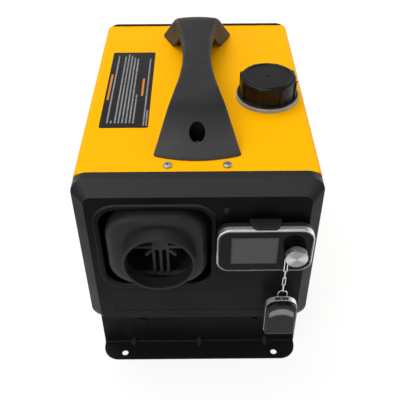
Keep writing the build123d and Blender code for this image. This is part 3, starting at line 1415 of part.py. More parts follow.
# =============================== controller ===============================
BODY_INSET = 0.4                              # housing inside the bezel's outline
BODY_WALL = 2.0
BEZEL_BACK = CTRL_FRONT - BEZEL_DEEP
GLASS_BACK = GLASS_FRONT - GLASS_T
BEZEL_IN = BEZEL_W + GAP                      # pieces inside the bezel
BODY_BACK = FACE + BRACKET_T
CAVITY_BACK = BODY_BACK + BODY_WALL
LATCH_Z = CTRL_Z + CTRL_H / 2 + GAP
LATCH_T = 2.0

with BuildPart() as controller_bracket:
    with BuildSketch(front(FACE)):
        with Locations((CTRL_X, CTRL_Z)):
            Rectangle(CTRL_W - 16.0, CTRL_H - 18.0)
            Circle(CABLE_R, mode=Mode.SUBTRACT)
        with Locations((CTRL_X, CTRL_Z)):
            with Locations((0, (LATCH_Z + LATCH_T - CTRL_Z + 15.0) / 2)):
                Rectangle(LATCH_W, LATCH_Z + LATCH_T - CTRL_Z - 15.0)
    extrude(amount=BRACKET_T)
    with BuildSketch(Plane.XY.offset(LATCH_Z)) as tab:
        with BuildLine():
            Polyline(
                (CTRL_X - LATCH_W / 2, -FACE),
                (CTRL_X - LATCH_END_W / 2, GAP - CTRL_FRONT),
                (CTRL_X + LATCH_END_W / 2, GAP - CTRL_FRONT),
                (CTRL_X + LATCH_W / 2, -FACE),
                close=True,
            )
        make_face()
        fillet(tab.vertices().group_by(Axis.Y)[0], LATCH_ROUND)
    extrude(amount=LATCH_T)
    fillet(controller_bracket.edges().group_by(Axis.Y)[0].group_by(Axis.Z)[-1], 0.8)
write(controller_bracket, "controller_bracket")

with BuildPart() as controller_body:
    with BuildSketch(front(BODY_BACK)):
        with Locations((CTRL_X, CTRL_Z)):
            RectangleRounded(
                CTRL_W - 2 * BODY_INSET,
                CTRL_H - 2 * BODY_INSET,
                CTRL_R - BODY_INSET,
            )
    extrude(amount=BEZEL_BACK - BODY_BACK)
    fillet(controller_body.edges().group_by(Axis.Y)[-1], 1.2)
    with BuildSketch(front(BODY_BACK)):
        with Locations((CTRL_X, CTRL_Z)):
            RectangleRounded(CTRL_W - 2 * BEZEL_IN, CTRL_H - 2 * BEZEL_IN, CTRL_R - BEZEL_IN)
    extrude(amount=GLASS_BACK - BODY_BACK)
    with BuildSketch(front(CAVITY_BACK)):
        with Locations((CTRL_X, CTRL_Z)):
            RectangleRounded(
                CTRL_W - 2 * (BEZEL_IN + BODY_WALL),
                CTRL_H - 2 * (BEZEL_IN + BODY_WALL),
                CTRL_R - BEZEL_IN - BODY_WALL,
            )
    extrude(amount=GLASS_BACK - CAVITY_BACK, mode=Mode.SUBTRACT)
    with BuildSketch(front(BODY_BACK)):
        with Locations((CTRL_X, CTRL_Z)):
            Circle(CABLE_R)
    extrude(amount=BODY_WALL, mode=Mode.SUBTRACT)
write(controller_body, "controller_body")

BEZEL_ROUND = 1.6                             # bezel's front edge
with BuildPart() as controller_bezel:
    with BuildSketch(front(BEZEL_BACK)):
        with Locations((CTRL_X, CTRL_Z)):
            RectangleRounded(CTRL_W, CTRL_H, CTRL_R)
    extrude(amount=BEZEL_DEEP)
    fillet(controller_bezel.edges().group_by(Axis.Y)[0], BEZEL_ROUND)
    with BuildSketch(front(BEZEL_BACK)):
        with Locations((CTRL_X, CTRL_Z)):
            RectangleRounded(CTRL_W - 2 * BEZEL_W, CTRL_H - 2 * BEZEL_W, CTRL_R - BEZEL_W)
    extrude(amount=BEZEL_DEEP, mode=Mode.SUBTRACT)
write(controller_bezel, "controller_bezel")

LCD_FRONT = GLASS_FRONT - 0.1
BUSH_R = 4.0
with BuildPart() as controller_glass:
    with BuildSketch(front(GLASS_BACK)):
        with Locations((CTRL_X, CTRL_Z)):
            RectangleRounded(CTRL_W - 2 * BEZEL_IN, CTRL_H - 2 * BEZEL_IN, CTRL_R - BEZEL_IN)
        with Locations((KNOB_X, CTRL_Z)):
            Circle(BUSH_R + GAP, mode=Mode.SUBTRACT)
    extrude(amount=GLASS_T)
    with BuildSketch(front(GLASS_FRONT)):
        with Locations((CTRL_X + LCD_SHIFT, CTRL_Z)):
            Rectangle(LCD_W + 0.2, LCD_H + 0.2)
    extrude(amount=-0.1 - LCD_T, mode=Mode.SUBTRACT)
write(controller_glass, "controller_glass")

with BuildPart() as lcd_screen:
    with BuildSketch(front(LCD_FRONT)):
        with Locations((CTRL_X + LCD_SHIFT, CTRL_Z)):
            Rectangle(LCD_W, LCD_H)
    extrude(amount=-LCD_T)
write(lcd_screen, "lcd_screen")

# Rotary encoder: the knob's shaft turns in it and pushes a small plunger.
ENCODER_W = 13.0
ENCODER_FRONT = GLASS_BACK - GAP
PLUNGER_BACK = CAVITY_BACK + 1.6
PLUNGER_T = 1.0
PUSH_R = 4.2                                  # plunger
PUSH_GAP = 0.2
with BuildPart() as encoder_body:
    with BuildSketch(front(CAVITY_BACK)):
        with Locations((KNOB_X, CTRL_Z)):
            Rectangle(ENCODER_W, ENCODER_W)
    extrude(amount=ENCODER_FRONT - CAVITY_BACK)
    with BuildSketch(front(ENCODER_FRONT)):
        with Locations((KNOB_X, CTRL_Z)):
            Circle(BUSH_R)
    extrude(amount=GLASS_FRONT - ENCODER_FRONT)
    with BuildSketch(front(PLUNGER_BACK - KNOB_PRESS - PUSH_GAP)):
        with Locations((KNOB_X, CTRL_Z)):
            Circle(PUSH_R + GAP)
    extrude(amount=KNOB_PRESS + 2 * PUSH_GAP + PLUNGER_T + GAP, mode=Mode.SUBTRACT)
    with BuildSketch(front(PLUNGER_BACK)):
        with Locations((KNOB_X, CTRL_Z)):
            Circle(SHAFT_R + RUN_GAP)
    extrude(amount=GLASS_FRONT - PLUNGER_BACK, mode=Mode.SUBTRACT)
write(encoder_body, "encoder_body")

with BuildPart() as encoder_plunger:
    with BuildSketch(front(PLUNGER_BACK)):
        with Locations((KNOB_X, CTRL_Z)):
            Circle(PUSH_R)
    extrude(amount=PLUNGER_T)
write(encoder_plunger, "encoder_plunger")

with BuildPart() as encoder_shaft:
    with BuildSketch(front(PLUNGER_BACK + PLUNGER_T)):
        with Locations((KNOB_X, CTRL_Z)):
            Circle(SHAFT_R)
    extrude(amount=KNOB_BACK + 4.0 - PLUNGER_BACK - PLUNGER_T)
write(encoder_shaft, "encoder_shaft")

with BuildPart() as knob:
    with BuildSketch(front(KNOB_BACK)):
        with Locations((KNOB_X, CTRL_Z)):
            Circle(KNOB_R)
            with PolarLocations(KNOB_R, KNURLS):
                Rectangle(0.5, 0.7, rotation=45.0, mode=Mode.SUBTRACT)
    extrude(amount=KNOB_LEN - KNOB_LIP)
    with BuildSketch(front(KNOB_FACE - KNOB_LIP)):
        with Locations((KNOB_X, CTRL_Z)):
            Circle(KNOB_R)
    extrude(amount=KNOB_LIP)
    chamfer(knob.edges().group_by(Axis.Y)[0], 0.9)
    with BuildSketch(front(KNOB_BACK)):
        with Locations((KNOB_X, CTRL_Z)):
            Circle(KNOB_NECK_R)
    extrude(amount=-(KNOB_BACK - GLASS_FRONT - KNOB_PRESS - 0.4))
    with BuildSketch(front(GLASS_FRONT)):
        with Locations((KNOB_X, CTRL_Z)):
            Circle(SHAFT_R + RUN_GAP)
    extrude(amount=KNOB_BACK + 4.2 - GLASS_FRONT, mode=Mode.SUBTRACT)
write(knob, "knob")

# =============================== key chain and fob ===============================
LOOP_PLANE = front(CHAIN_OUT)
LOOP_Z = CTRL_Z - 0.6                         # loop hangs on the neck's upper side
TURN_R = 5.0

with BuildPart() as wire_loop:
    left = STRAND_X - STRAND_HALF
    right = STRAND_X + STRAND_HALF
    low = LOOP_Z - LOOP_R
    hang = LOOP_END + STRAND_HALF
    root = LOOP_R / math.sqrt(2)
    bow = TURN_R / math.sqrt(2)
    with BuildLine(LOOP_PLANE) as loop_path:
        Line((left, hang), (left, LOOP_Z))
        ThreePointArc((left, LOOP_Z), (KNOB_X, LOOP_Z + LOOP_R), (KNOB_X + LOOP_R, LOOP_Z))
        ThreePointArc((KNOB_X + LOOP_R, LOOP_Z), (KNOB_X + root, LOOP_Z - root), (KNOB_X, low))
        Line((KNOB_X, low), (right + TURN_R, low))
        ThreePointArc(
            (right + TURN_R, low),
            (right + TURN_R - bow, low - TURN_R + bow),
            (right, low - TURN_R),
        )
        Line((right, low - TURN_R), (right, hang))
        ThreePointArc((right, hang), (STRAND_X, LOOP_END), (left, hang))
    with BuildSketch(Plane(origin=loop_path.line @ 0, z_dir=loop_path.line % 0)):
        Circle(WIRE / 2)
    sweep()
write(wire_loop, "wire_loop")

# Links hang one in the next, each with a small clearance, down to the fob's wire ring.
LINK_REST = 0.2
BAR_R = 0.9                                   # bar across the slot in the fob's top
BAR_Z = FOB_TOP - 4.0
ring_top = LOOP_END + (WIRE + LINK_WIRE) / 2 + LINK_REST
with BuildPart() as chain_links:
    for index, long in enumerate(LINK_LONG):
        turned = index % 2 == 0
        sheet = Plane(
            origin=(STRAND_X, -CHAIN_OUT, ring_top),
            x_dir=(0, 1, 0) if turned else (1, 0, 0),
            z_dir=(1, 0, 0) if turned else (0, -1, 0),
        )
        foot = LINK_HALF - long
        with BuildLine(sheet) as link_path:
            Line((-LINK_HALF, -LINK_HALF), (-LINK_HALF, foot))
            ThreePointArc((-LINK_HALF, foot), (0, -long), (LINK_HALF, foot))
            Line((LINK_HALF, foot), (LINK_HALF, -LINK_HALF))
            ThreePointArc((LINK_HALF, -LINK_HALF), (0, 0), (-LINK_HALF, -LINK_HALF))
        with BuildSketch(Plane(origin=link_path.line @ 0, z_dir=link_path.line % 0)):
            Circle(LINK_WIRE / 2)
        sweep()
        ring_top = ring_top - long + LINK_WIRE + LINK_REST
    ring_foot = BAR_Z - BAR_R - LINK_REST - LINK_WIRE / 2
    top_z = ring_top - RING_HALF
    foot_z = ring_foot + RING_FOOT
    lean = math.asin((RING_HALF - RING_FOOT) / (top_z - foot_z))
    top_x, top_lift = RING_HALF * math.cos(lean), RING_HALF * math.sin(lean)
    foot_x, foot_lift = RING_FOOT * math.cos(lean), RING_FOOT * math.sin(lean)
    with BuildLine(LOOP_PLANE) as ring_path:
        Line((STRAND_X - foot_x, foot_z + foot_lift), (STRAND_X - top_x, top_z + top_lift))
        ThreePointArc(
            (STRAND_X - top_x, top_z + top_lift),
            (STRAND_X, ring_top),
            (STRAND_X + top_x, top_z + top_lift),
        )
        Line((STRAND_X + top_x, top_z + top_lift), (STRAND_X + foot_x, foot_z + foot_lift))
        ThreePointArc(
            (STRAND_X + foot_x, foot_z + foot_lift),
            (STRAND_X, ring_foot),
            (STRAND_X - foot_x, foot_z + foot_lift),
        )
    with BuildSketch(Plane(origin=ring_path.line @ 0, z_dir=ring_path.line % 0)):
        Circle(LINK_WIRE / 2)
    sweep()
write(chain_links, "chain_links")

CASE_INSET = FOB_TRIM + 0.1
CASE_BACK_T = 2.0                             # case's back, behind the frame
CASE_FRONT = FOB_FRONT - FOB_COVER_T - GAP
BRIDGE_Z = FOB_TOP - FOB_BRIDGE
FOB_FOOT = FOB_TOP - FOB_H


def fob_outline(inset):
    """Face of the fob's outline on the plane of the face behind it, moved in by inset."""
    with BuildSketch() as made:
        with Locations((STRAND_X, FOB_TOP - FOB_H / 2)):
            Rectangle(FOB_W - 2 * inset, FOB_H - 2 * inset)
        fillet(made.vertices().group_by(Axis.Y)[-1], FOB_TOP_R - inset)
        fillet(made.vertices().group_by(Axis.Y)[0], max(FOB_FOOT_R - inset, 0.5))
    return made.sketch


# Bright frame round the fob; its thick top has a slot with a bar, which holds the ring.
SLOT_HALF = RING_HALF + 2.7                   # room for the ring to lean
SLOT_W = 4.0
SLOT_FLOOR = 0.8
with BuildPart() as fob_frame:
    with BuildSketch(front(FOB_BACK + CASE_BACK_T)):
        add(fob_outline(0.0))
        add(fob_outline(FOB_TRIM), mode=Mode.SUBTRACT)
    extrude(amount=CASE_FRONT - FOB_BACK - CASE_BACK_T)
    with BuildSketch(front(FOB_BACK + CASE_BACK_T)):
        add(fob_outline(0.0))
        with Locations((STRAND_X, BRIDGE_Z)):
            Rectangle(FOB_W, FOB_H, align=(Align.CENTER, Align.MAX), mode=Mode.SUBTRACT)
    extrude(amount=CASE_FRONT - FOB_BACK - CASE_BACK_T)
    with BuildSketch(Plane.XY.offset(FOB_TOP)):
        with Locations((STRAND_X, -CHAIN_OUT)):
            RectangleRounded(2 * SLOT_HALF, SLOT_W, SLOT_W / 2 - 0.2)
    extrude(amount=SLOT_FLOOR - FOB_BRIDGE, mode=Mode.SUBTRACT)
    with BuildSketch(front(CHAIN_OUT - SLOT_W / 2 - 0.5)):
        with Locations((STRAND_X, BAR_Z)):
            Circle(BAR_R)
    extrude(amount=SLOT_W + 1.0)
write(fob_frame, "fob_frame")

BUTTON_X = 6.5
LOW_ROW = FOB_TOP - FOB_COVER_IN - FOB_TRAVEL + BUTTON_R + GAP
BUTTON_ROWS = (LOW_ROW + 6.6, LOW_ROW)       # both clear of the cover when it is open
BUTTON_TOP = CASE_FRONT + 0.2
BUTTON_BACK = BUTTON_TOP - 4.0
button_places = [(STRAND_X + side * BUTTON_X, row) for row in BUTTON_ROWS for side in (-1, 1)]
with BuildPart() as fob_shell:
    with BuildSketch(front(FOB_BACK)):
        add(fob_outline(CASE_INSET))
        with Locations((STRAND_X, BRIDGE_Z - 0.1)):
            Rectangle(FOB_W, FOB_H, align=(Align.CENTER, Align.MIN), mode=Mode.SUBTRACT)
    extrude(amount=CASE_FRONT - 1.0 - FOB_BACK)
    with BuildSketch(front(FOB_BACK)):
        add(fob_outline(CASE_INSET))
    extrude(amount=CASE_BACK_T - 0.1)
    with BuildSketch(front(CASE_FRONT)):
        with Locations(*button_places):
            Circle(BUTTON_R + 0.2)
    extrude(amount=-(CASE_FRONT - BUTTON_BACK + BUTTON_PRESS + 0.2), mode=Mode.SUBTRACT)
write(fob_shell, "fob_shell")

for number, (button_x, button_z) in enumerate(button_places, start=1):
    with BuildPart() as fob_button:
        with BuildSketch(front(BUTTON_BACK)):
            with Locations((button_x, button_z)):
                Circle(BUTTON_R)
        extrude(amount=BUTTON_TOP - BUTTON_BACK - 0.3)
    write(fob_button, f"fob_button_{number}")

# Sliding cover: pillow-edged, with a sunk thumb band between two arcs.
with BuildPart() as fob_slide:
    with BuildSketch(front(FOB_FRONT - FOB_COVER_T)):
        add(fob_outline(FOB_COVER_IN))
    extrude(amount=FOB_COVER_T)
    fillet(fob_slide.edges().group_by(Axis.Y)[0], FOB_COVER_ROUND)
    with BuildSketch(front(FOB_FRONT)):
        with Locations((STRAND_X, FOB_TOP - CRESCENT_DROP - CRESCENT_R)):
            Circle(CRESCENT_R)
            Rectangle(
                2 * CRESCENT_HALF,
                CRESCENT_R,
                align=(Align.CENTER, Align.MIN),
                mode=Mode.INTERSECT,
            )
        with Locations((STRAND_X, FOB_TOP - CRESCENT_DROP - CRESCENT - CRESCENT_LOW_R)):
            Circle(CRESCENT_LOW_R, mode=Mode.SUBTRACT)
    extrude(amount=-CRESCENT_SUNK, mode=Mode.SUBTRACT)
write(fob_slide, "fob_slide")
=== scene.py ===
# %% [markdown]
# # A portable diesel air heater
# A yellow sheet-metal box between two black pressed panels, with a moulded handle, a ribbed
# fuel cap, a round hot-air spigot, a small controller with a bright frame, and a key-fob
# remote hanging from its knob. The measured model gives every piece its shape, size and
# place. What it cannot give is how the pieces look, so this lesson is about the view, the
# light and the finishes.

# %% Load the measured model
import math

import bpy
from mathutils import Matrix, Vector


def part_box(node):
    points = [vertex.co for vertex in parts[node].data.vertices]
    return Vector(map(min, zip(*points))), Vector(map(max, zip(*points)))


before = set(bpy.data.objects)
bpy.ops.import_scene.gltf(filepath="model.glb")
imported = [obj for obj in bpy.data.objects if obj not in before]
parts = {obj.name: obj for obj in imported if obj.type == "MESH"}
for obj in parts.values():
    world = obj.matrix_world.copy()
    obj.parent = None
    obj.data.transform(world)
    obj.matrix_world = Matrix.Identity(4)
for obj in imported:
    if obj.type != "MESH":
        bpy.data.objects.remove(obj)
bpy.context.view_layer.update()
MM = 0.001

# %% [markdown]
# ## Camera
# The photograph looks down on the heater at about 41 degrees, through a lens of about 55 mm.
# A camera can be placed by eye or worked out from edges that are known to be square; the
# second way was used, because then every later difference is the model's and not the view's.

# %% Camera
SENSOR_WIDTH = 36.0
FOCAL_PIXELS = 608.0
PICTURE_PIXELS = 400.0
CAMERA_PLACE = (2.3 * MM, -634.5 * MM, 650.6 * MM)
LOOKING_DOWN = math.radians(41.06)
LEANING = math.radians(-0.45)
camera = bpy.data.objects.new("camera", bpy.data.cameras.new("camera"))
bpy.context.collection.objects.link(camera)
camera.data.sensor_width = SENSOR_WIDTH
camera.data.lens = SENSOR_WIDTH * FOCAL_PIXELS / PICTURE_PIXELS
camera.location = CAMERA_PLACE
camera_turn = Matrix.Rotation(math.radians(90) - LOOKING_DOWN, 4, "X")
camera_turn = camera_turn @ Matrix.Rotation(LEANING, 4, "Z")
camera.rotation_euler = camera_turn.to_euler()
bpy.context.scene.camera = camera
print("lens:", round(camera.data.lens, 2), "mm")

# %% [markdown]
# ## Floor and white surroundings
# The photograph has a clean white ground with only a breath of shadow. Pouring more light on
# the floor would also bleach the yellow paint. Instead the world and the floor know which
# kind of ray is asking: the camera and mirror-like surfaces see white, while the light that
# falls on the heater stays at a plain level. The floor keeps part of its own shading, and so
# keeps the shadow. Overhead, mirror-like surfaces see a dimmer ceiling, as in a real studio,
# which keeps a grey veil off the yellow top and off the black plastics that face up. Far out,
# where the lamps no longer reach, the floor glows a little more, so no horizon shows.

# %% Helpers that add shader nodes and wire their inputs
def add_node(tree, kind, inputs=None, **settings):
    made = tree.nodes.new(kind)
    for name, value in settings.items():
        setattr(made, name, value)
    for name, value in (inputs or {}).items():
        socket = made.inputs[name]
        if isinstance(value, bpy.types.NodeSocket):
            tree.links.new(value, socket)
        else:
            socket.default_value = value
    return made


def maths(tree, how, *values):
    """A number worked out from one, two or three others."""
    return add_node(tree, "ShaderNodeMath", dict(enumerate(values)), operation=how).outputs[0]


def vector_maths(tree, how, *values):
    """A direction worked out from others, or the number that a length or a dot product is."""
    made = add_node(tree, "ShaderNodeVectorMath", dict(enumerate(values)), operation=how)
    if how in ("LENGTH", "DOT_PRODUCT"):
        return made.outputs["Value"]
    return made.outputs["Vector"]


def spread(tree, value, source, target=(0.0, 1.0)):
    """Runs from one end of the target to the other while the value runs along the source."""
    inputs = {"Value": value, "From Min": source[0], "From Max": source[1],
              "To Min": target[0], "To Max": target[1]}
    return add_node(tree, "ShaderNodeMapRange", inputs).outputs[0]


# %% Helpers that read places and rays
def place_on(tree):
    return add_node(tree, "ShaderNodeTexCoord").outputs["Object"]


def axes_of(tree, vector):
    """The three parts of a place or a direction, by the names X, Y and Z."""
    return add_node(tree, "ShaderNodeSeparateXYZ", {"Vector": vector}).outputs


def seen_directly(tree):
    """1 for rays from the camera, from mirrors and through glass, otherwise 0."""
    path = add_node(tree, "ShaderNodeLightPath").outputs
    camera_or_mirror = maths(tree, "MAXIMUM", path["Is Camera Ray"], path["Is Glossy Ray"])
    return maths(tree, "MAXIMUM", camera_or_mirror, path["Is Transmission Ray"])


def mixed(tree, share, first, second):
    """The first node's light where the share is 0, and the second's where it is 1."""
    inputs = {0: share, 1: first.outputs[0], 2: second.outputs[0]}
    return add_node(tree, "ShaderNodeMixShader", inputs)


# %% World
WHITE = (1, 1, 1, 1)
FILL_STRENGTH = 0.42
CEILING_RISE = (0.25, 0.55)  # how steeply a ray climbs: 0 is level and 1 is straight up
CEILING_LEVEL = 0.2
world = bpy.data.worlds.new("studio")
bpy.context.scene.world = world
world.use_nodes = True
tree = world.node_tree
tree.nodes.clear()
soft_fill = add_node(tree, "ShaderNodeBackground", {"Color": WHITE, "Strength": FILL_STRENGTH})
climb = axes_of(tree, add_node(tree, "ShaderNodeTexCoord").outputs["Generated"])["Z"]
ceiling = spread(tree, climb, CEILING_RISE, (1.0, CEILING_LEVEL))
camera_ray = add_node(tree, "ShaderNodeLightPath").outputs["Is Camera Ray"]
view_level = maths(tree, "MAXIMUM", camera_ray, ceiling)
white_view = add_node(tree, "ShaderNodeBackground", {"Color": WHITE, "Strength": view_level})
world_mix = mixed(tree, seen_directly(tree), soft_fill, white_view)
add_node(tree, "ShaderNodeOutputWorld", {"Surface": world_mix.outputs[0]})
print("world: fill", FILL_STRENGTH, "and a ceiling of", CEILING_LEVEL, "in mirrors")

# %% Floor
FLOOR_SIZE = 12.0
PAPER_GREY = (0.18, 0.18, 0.18, 1)
GLOW_REACH = (0.6, 3.5)  # metres from the heater's middle
GLOW_LEVELS = (0.86, 0.99)
bpy.ops.mesh.primitive_plane_add(size=FLOOR_SIZE)
floor = bpy.context.object
floor.name = "floor"
floor_paper = bpy.data.materials.new("floor paper")
floor_paper.use_nodes = True
tree = floor_paper.node_tree
tree.nodes.clear()
paper = add_node(tree, "ShaderNodeBsdfDiffuse", {"Color": PAPER_GREY})
from_heater = vector_maths(tree, "LENGTH", place_on(tree))
glow_level = spread(tree, from_heater, GLOW_REACH, GLOW_LEVELS)
glow = add_node(tree, "ShaderNodeEmission", {"Color": WHITE, "Strength": glow_level})
dark = add_node(tree, "ShaderNodeEmission", {"Color": (0, 0, 0, 1), "Strength": 0.0})
glow_if_seen = mixed(tree, seen_directly(tree), dark, glow)
floor_sum = add_node(tree, "ShaderNodeAddShader", {0: paper.outputs[0], 1: glow_if_seen.outputs[0]})
add_node(tree, "ShaderNodeOutputMaterial", {"Surface": floor_sum.outputs[0]})
floor.data.materials.append(floor_paper)
print("floor:", FLOOR_SIZE, "m wide, glowing from", GLOW_LEVELS[0], "to", GLOW_LEVELS[1])

# %% [markdown]
# ## Lamps
# Product light is large and soft. A sun lamp would draw hard shadows and small hot spots, so
# every lamp here is a wide square panel. One overhead and a little behind gives the top its
# even yellow, and one at the front left lights the front. A smaller one in front draws the
# pale streak along the panel's bevel. A low one at the right keeps that side yellow when the
# heater is turned round.

# %% Lamps
def soft_lamp(name, place, aim, size, power):
    lamp = bpy.data.objects.new(name, bpy.data.lights.new(name, "AREA"))
    bpy.context.collection.objects.link(lamp)
    lamp.data.shape = "SQUARE"
    lamp.data.size = size
    lamp.data.energy = power
    lamp.location = place
    lamp.rotation_euler = (Vector(aim) - Vector(place)).to_track_quat("-Z", "Y").to_euler()
    print("lamp:", name, size, "m wide,", power, "W")


soft_lamp("overhead", place=(-0.4, 0.5, 2.2), aim=(0, 0, 0.2), size=1.6, power=30)
soft_lamp("front left", place=(-1.5, -1.5, 1.2), aim=(0, 0, 0.15), size=0.9, power=8)
soft_lamp("bevel streak", place=(-0.62, -1.30, 1.42), aim=(-0.05, -0.18, 0.24), size=0.45, power=5)
soft_lamp("right side", place=(1.8, 0.2, 0.50), aim=(0, 0, 0.2), size=0.9, power=8)
bpy.context.scene.view_settings.view_transform = "Standard"

# %% [markdown]
# ## Finishes
# Paint and plastic could be photographed and wrapped round the pieces. Patterns worked out
# from each point's own place need no picture, have no seams and hold from every side, so
# they are used throughout. Every finish starts from one shader. A few helpers make fine
# grain and slow patches from noise, and find the piece's edges, where the yellow paint is
# deeper where it thins and the other finishes get a painted highlight.

# %% A finish to start from
def new_finish(name, colour, roughness, metallic=0.0, gloss=0.5):
    finish = bpy.data.materials.new(name)
    finish.use_nodes = True
    shader = finish.node_tree.nodes["Principled BSDF"]
    shader.inputs["Base Color"].default_value = (*colour, 1)
    shader.inputs["Roughness"].default_value = roughness
    shader.inputs["Metallic"].default_value = metallic
    shader.inputs["Specular IOR Level"].default_value = gloss
    print("finish:", name)
    return finish, finish.node_tree, shader


def paint(tree, shader, colour, roughness=None):
    """Hands a pattern of colour, and perhaps one of roughness, to the shader."""
    tree.links.new(colour, shader.inputs["Base Color"])
    if roughness is not None:
        tree.links.new(roughness, shader.inputs["Roughness"])


# %% Helpers for patterns
def noise(tree, where, scale, detail=3.0, rough=0.5):
    inputs = {"Vector": where, "Scale": scale, "Detail": detail, "Roughness": rough}
    return add_node(tree, "ShaderNodeTexNoise", inputs).outputs["Fac"]


def patches(tree, where, scale, detail=3.0, levels=(0.0, 1.0)):
    """Patches between two levels. Noise keeps to its own middle, so that is spread out."""
    return spread(tree, noise(tree, where, scale, detail), (0.3, 0.7), levels)


def stretched(tree, where, scale, turn=(0.0, 0.0, 0.0), shift=(0.0, 0.0, 0.0)):
    """The place after it is stretched along each axis, turned and then shifted."""
    inputs = {"Vector": where, "Location": shift, "Rotation": turn, "Scale": scale}
    return add_node(tree, "ShaderNodeMapping", inputs).outputs[0]


def between(tree, value, low, high):
    """1 where the value lies between two others, otherwise 0."""
    above = maths(tree, "GREATER_THAN", value, low)
    return maths(tree, "MULTIPLY", above, maths(tree, "LESS_THAN", value, high))


# %% Helpers for colour
def tint(tree, amount, first, second):
    """The first colour where the amount is 0, the second where it is 1."""
    made = add_node(tree, "ShaderNodeMix", data_type="RGBA")
    tree.links.new(amount, made.inputs["Factor"])
    for socket, value in ((made.inputs[6], first), (made.inputs[7], second)):
        if isinstance(value, bpy.types.NodeSocket):
            tree.links.new(value, socket)
        else:
            socket.default_value = (*value, 1)
    return made.outputs[2]


def scaled(tree, colour, amount):
    inputs = {0: colour, "Scale": amount}
    return add_node(tree, "ShaderNodeVectorMath", inputs, operation="SCALE").outputs[0]


def grey_of(tree, level):
    inputs = {"Red": level, "Green": level, "Blue": level}
    return add_node(tree, "ShaderNodeCombineColor", inputs).outputs[0]


# %% Helpers for faces, edges and grain
def facing(tree):
    """The direction that a face looks in."""
    return add_node(tree, "ShaderNodeNewGeometry").outputs["Normal"]


def eased(tree, radius):
    """Normals that turn softly over every edge, as if each edge were rounded off."""
    return add_node(tree, "ShaderNodeBevel", {"Radius": radius}, samples=6).outputs[0]


def edge_mask(tree, soft):
    """1 on the edges, where the eased normals leave the flat ones, otherwise 0."""
    return spread(tree, vector_maths(tree, "DOT_PRODUCT", soft, facing(tree)), (0.995, 0.90))


def bumped(tree, shader, height, strength, distance, over=None):
    """Lays a height over the normals below it, and hands the new normals to the shader."""
    inputs = {"Height": height, "Strength": strength, "Distance": distance}
    made = add_node(tree, "ShaderNodeBump", inputs)
    if over is not None:
        tree.links.new(over, made.inputs["Normal"])
    tree.links.new(made.outputs[0], shader.inputs["Normal"])
    return made.outputs[0]


# %% [markdown]
# ## Yellow powder coat
# The cover is sheet steel, sprayed with warm yellow powder and baked. Up close the skin has
# a fine orange peel; from further off it is even, slightly deeper where it thins over the
# bends. A mirror-like sheen would wash the yellow out, so its gloss is kept low. The inside
# is painted black, a painted shade for the dark inside of the box. That could be a second
# finish on chosen faces, but one test does it for all of them: a face is inside where it
# looks back at the middle of the box.

# %% Yellow powder coat
DEEP_YELLOW = (0.97, 0.444, 0.0)
WARM_YELLOW = (1.0, 0.468, 0.0)
BEND_YELLOW = (0.86, 0.37, 0.0)
INSIDE_SHADE_BLACK = (0.006, 0.006, 0.006)
yellow, tree, shader = new_finish("yellow powder coat", (0.99, 0.462, 0.0), 0.42, gloss=0.03)
where = place_on(tree)
soft = eased(tree, radius=0.8 * MM)
skin = tint(tree, patches(tree, where, scale=9.0, detail=4.0), DEEP_YELLOW, WARM_YELLOW)
cover_low, cover_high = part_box("top_cover")
outward = vector_maths(tree, "SUBTRACT", where, (cover_low + cover_high) / 2)
outward = vector_maths(tree, "MULTIPLY", outward, (1.0, 0.0, 1.0))
outside = vector_maths(tree, "DOT_PRODUCT", outward, facing(tree))
# painted shade: faces inside the box are painted black
skin = tint(tree, spread(tree, outside, (-0.01, 0.0)), INSIDE_SHADE_BLACK, skin)
paint(tree, shader, tint(tree, edge_mask(tree, soft), skin, BEND_YELLOW),
      patches(tree, where, scale=40.0, levels=(0.36, 0.48)))
orange_peel = noise(tree, where, scale=1400.0, detail=2.0)
bumped(tree, shader, orange_peel, strength=0.12, distance=0.1 * MM, over=soft)

# %% [markdown]
# ## Black powder coat
# Panels, brackets and tray have the same powder in black with a satin sheen. The corners get
# a painted highlight, a little greyer, and faces that slope up get a painted sheen, paler and
# a little blue, with less of it on level faces. That could be painted on by hand; here the
# direction that a face looks in decides, so every bend gets its own. The black also runs from
# one level at the top to another at the foot, a painted light from the floor. Colour and
# roughness also wander slowly over the skin, as dust never settles evenly.

# %% Black powder coat
PANEL_TOP = 0.24
PANEL_FOOT = 0.08
SLOPING = (0.15, 0.65)  # how far up a face looks: 0 is upright and 1 is level
NEARLY_LEVEL = (0.85, 0.97)


def black_powder(name, high, low, sheen_level, rough):
    """Black from one level at the top to another at the foot, a painted light from the floor, and a
    painted sheen where it faces up.
    """
    finish, tree, shader = new_finish(name, (high, high, high), rough, gloss=0.06)
    where = place_on(tree)
    soft = eased(tree, radius=0.9 * MM)
    # painted light: the floor's bounce is painted into the black, changing it towards the foot
    floor_light_share = spread(tree, axes_of(tree, where)["Z"], (PANEL_TOP, PANEL_FOOT))
    skin = tint(tree, floor_light_share, (high,) * 3, (low, low, low * 1.08))
    skin = scaled(tree, skin, patches(tree, where, scale=14.0, detail=5.0, levels=(0.8, 1.2)))
    upward = axes_of(tree, facing(tree))["Z"]
    # painted sheen: sloping faces are painted paler and bluish, level faces less so
    painted_sheen = tint(tree, spread(tree, upward, NEARLY_LEVEL), (sheen_level, sheen_level, sheen_level * 1.1), (sheen_level * 0.6,) * 3)
    skin = tint(tree, spread(tree, upward, SLOPING), skin, painted_sheen)
    # painted highlight: the edges are painted greyer, like the lit crests
    paint(tree, shader, tint(tree, edge_mask(tree, soft), skin, (sheen_level * 1.3,) * 3),
          patches(tree, where, scale=30.0, levels=(rough - 0.06, rough + 0.08)))
    grain = noise(tree, where, scale=1100.0, detail=2.0)
    bumped(tree, shader, grain, strength=0.16, distance=0.12 * MM, over=soft)
    return finish


black = black_powder("black powder coat", high=0.003, low=0.020, sheen_level=0.042, rough=0.36)
bracket_black = black_powder("bracket powder coat", high=0.012, low=0.010, sheen_level=0.022, rough=0.40)
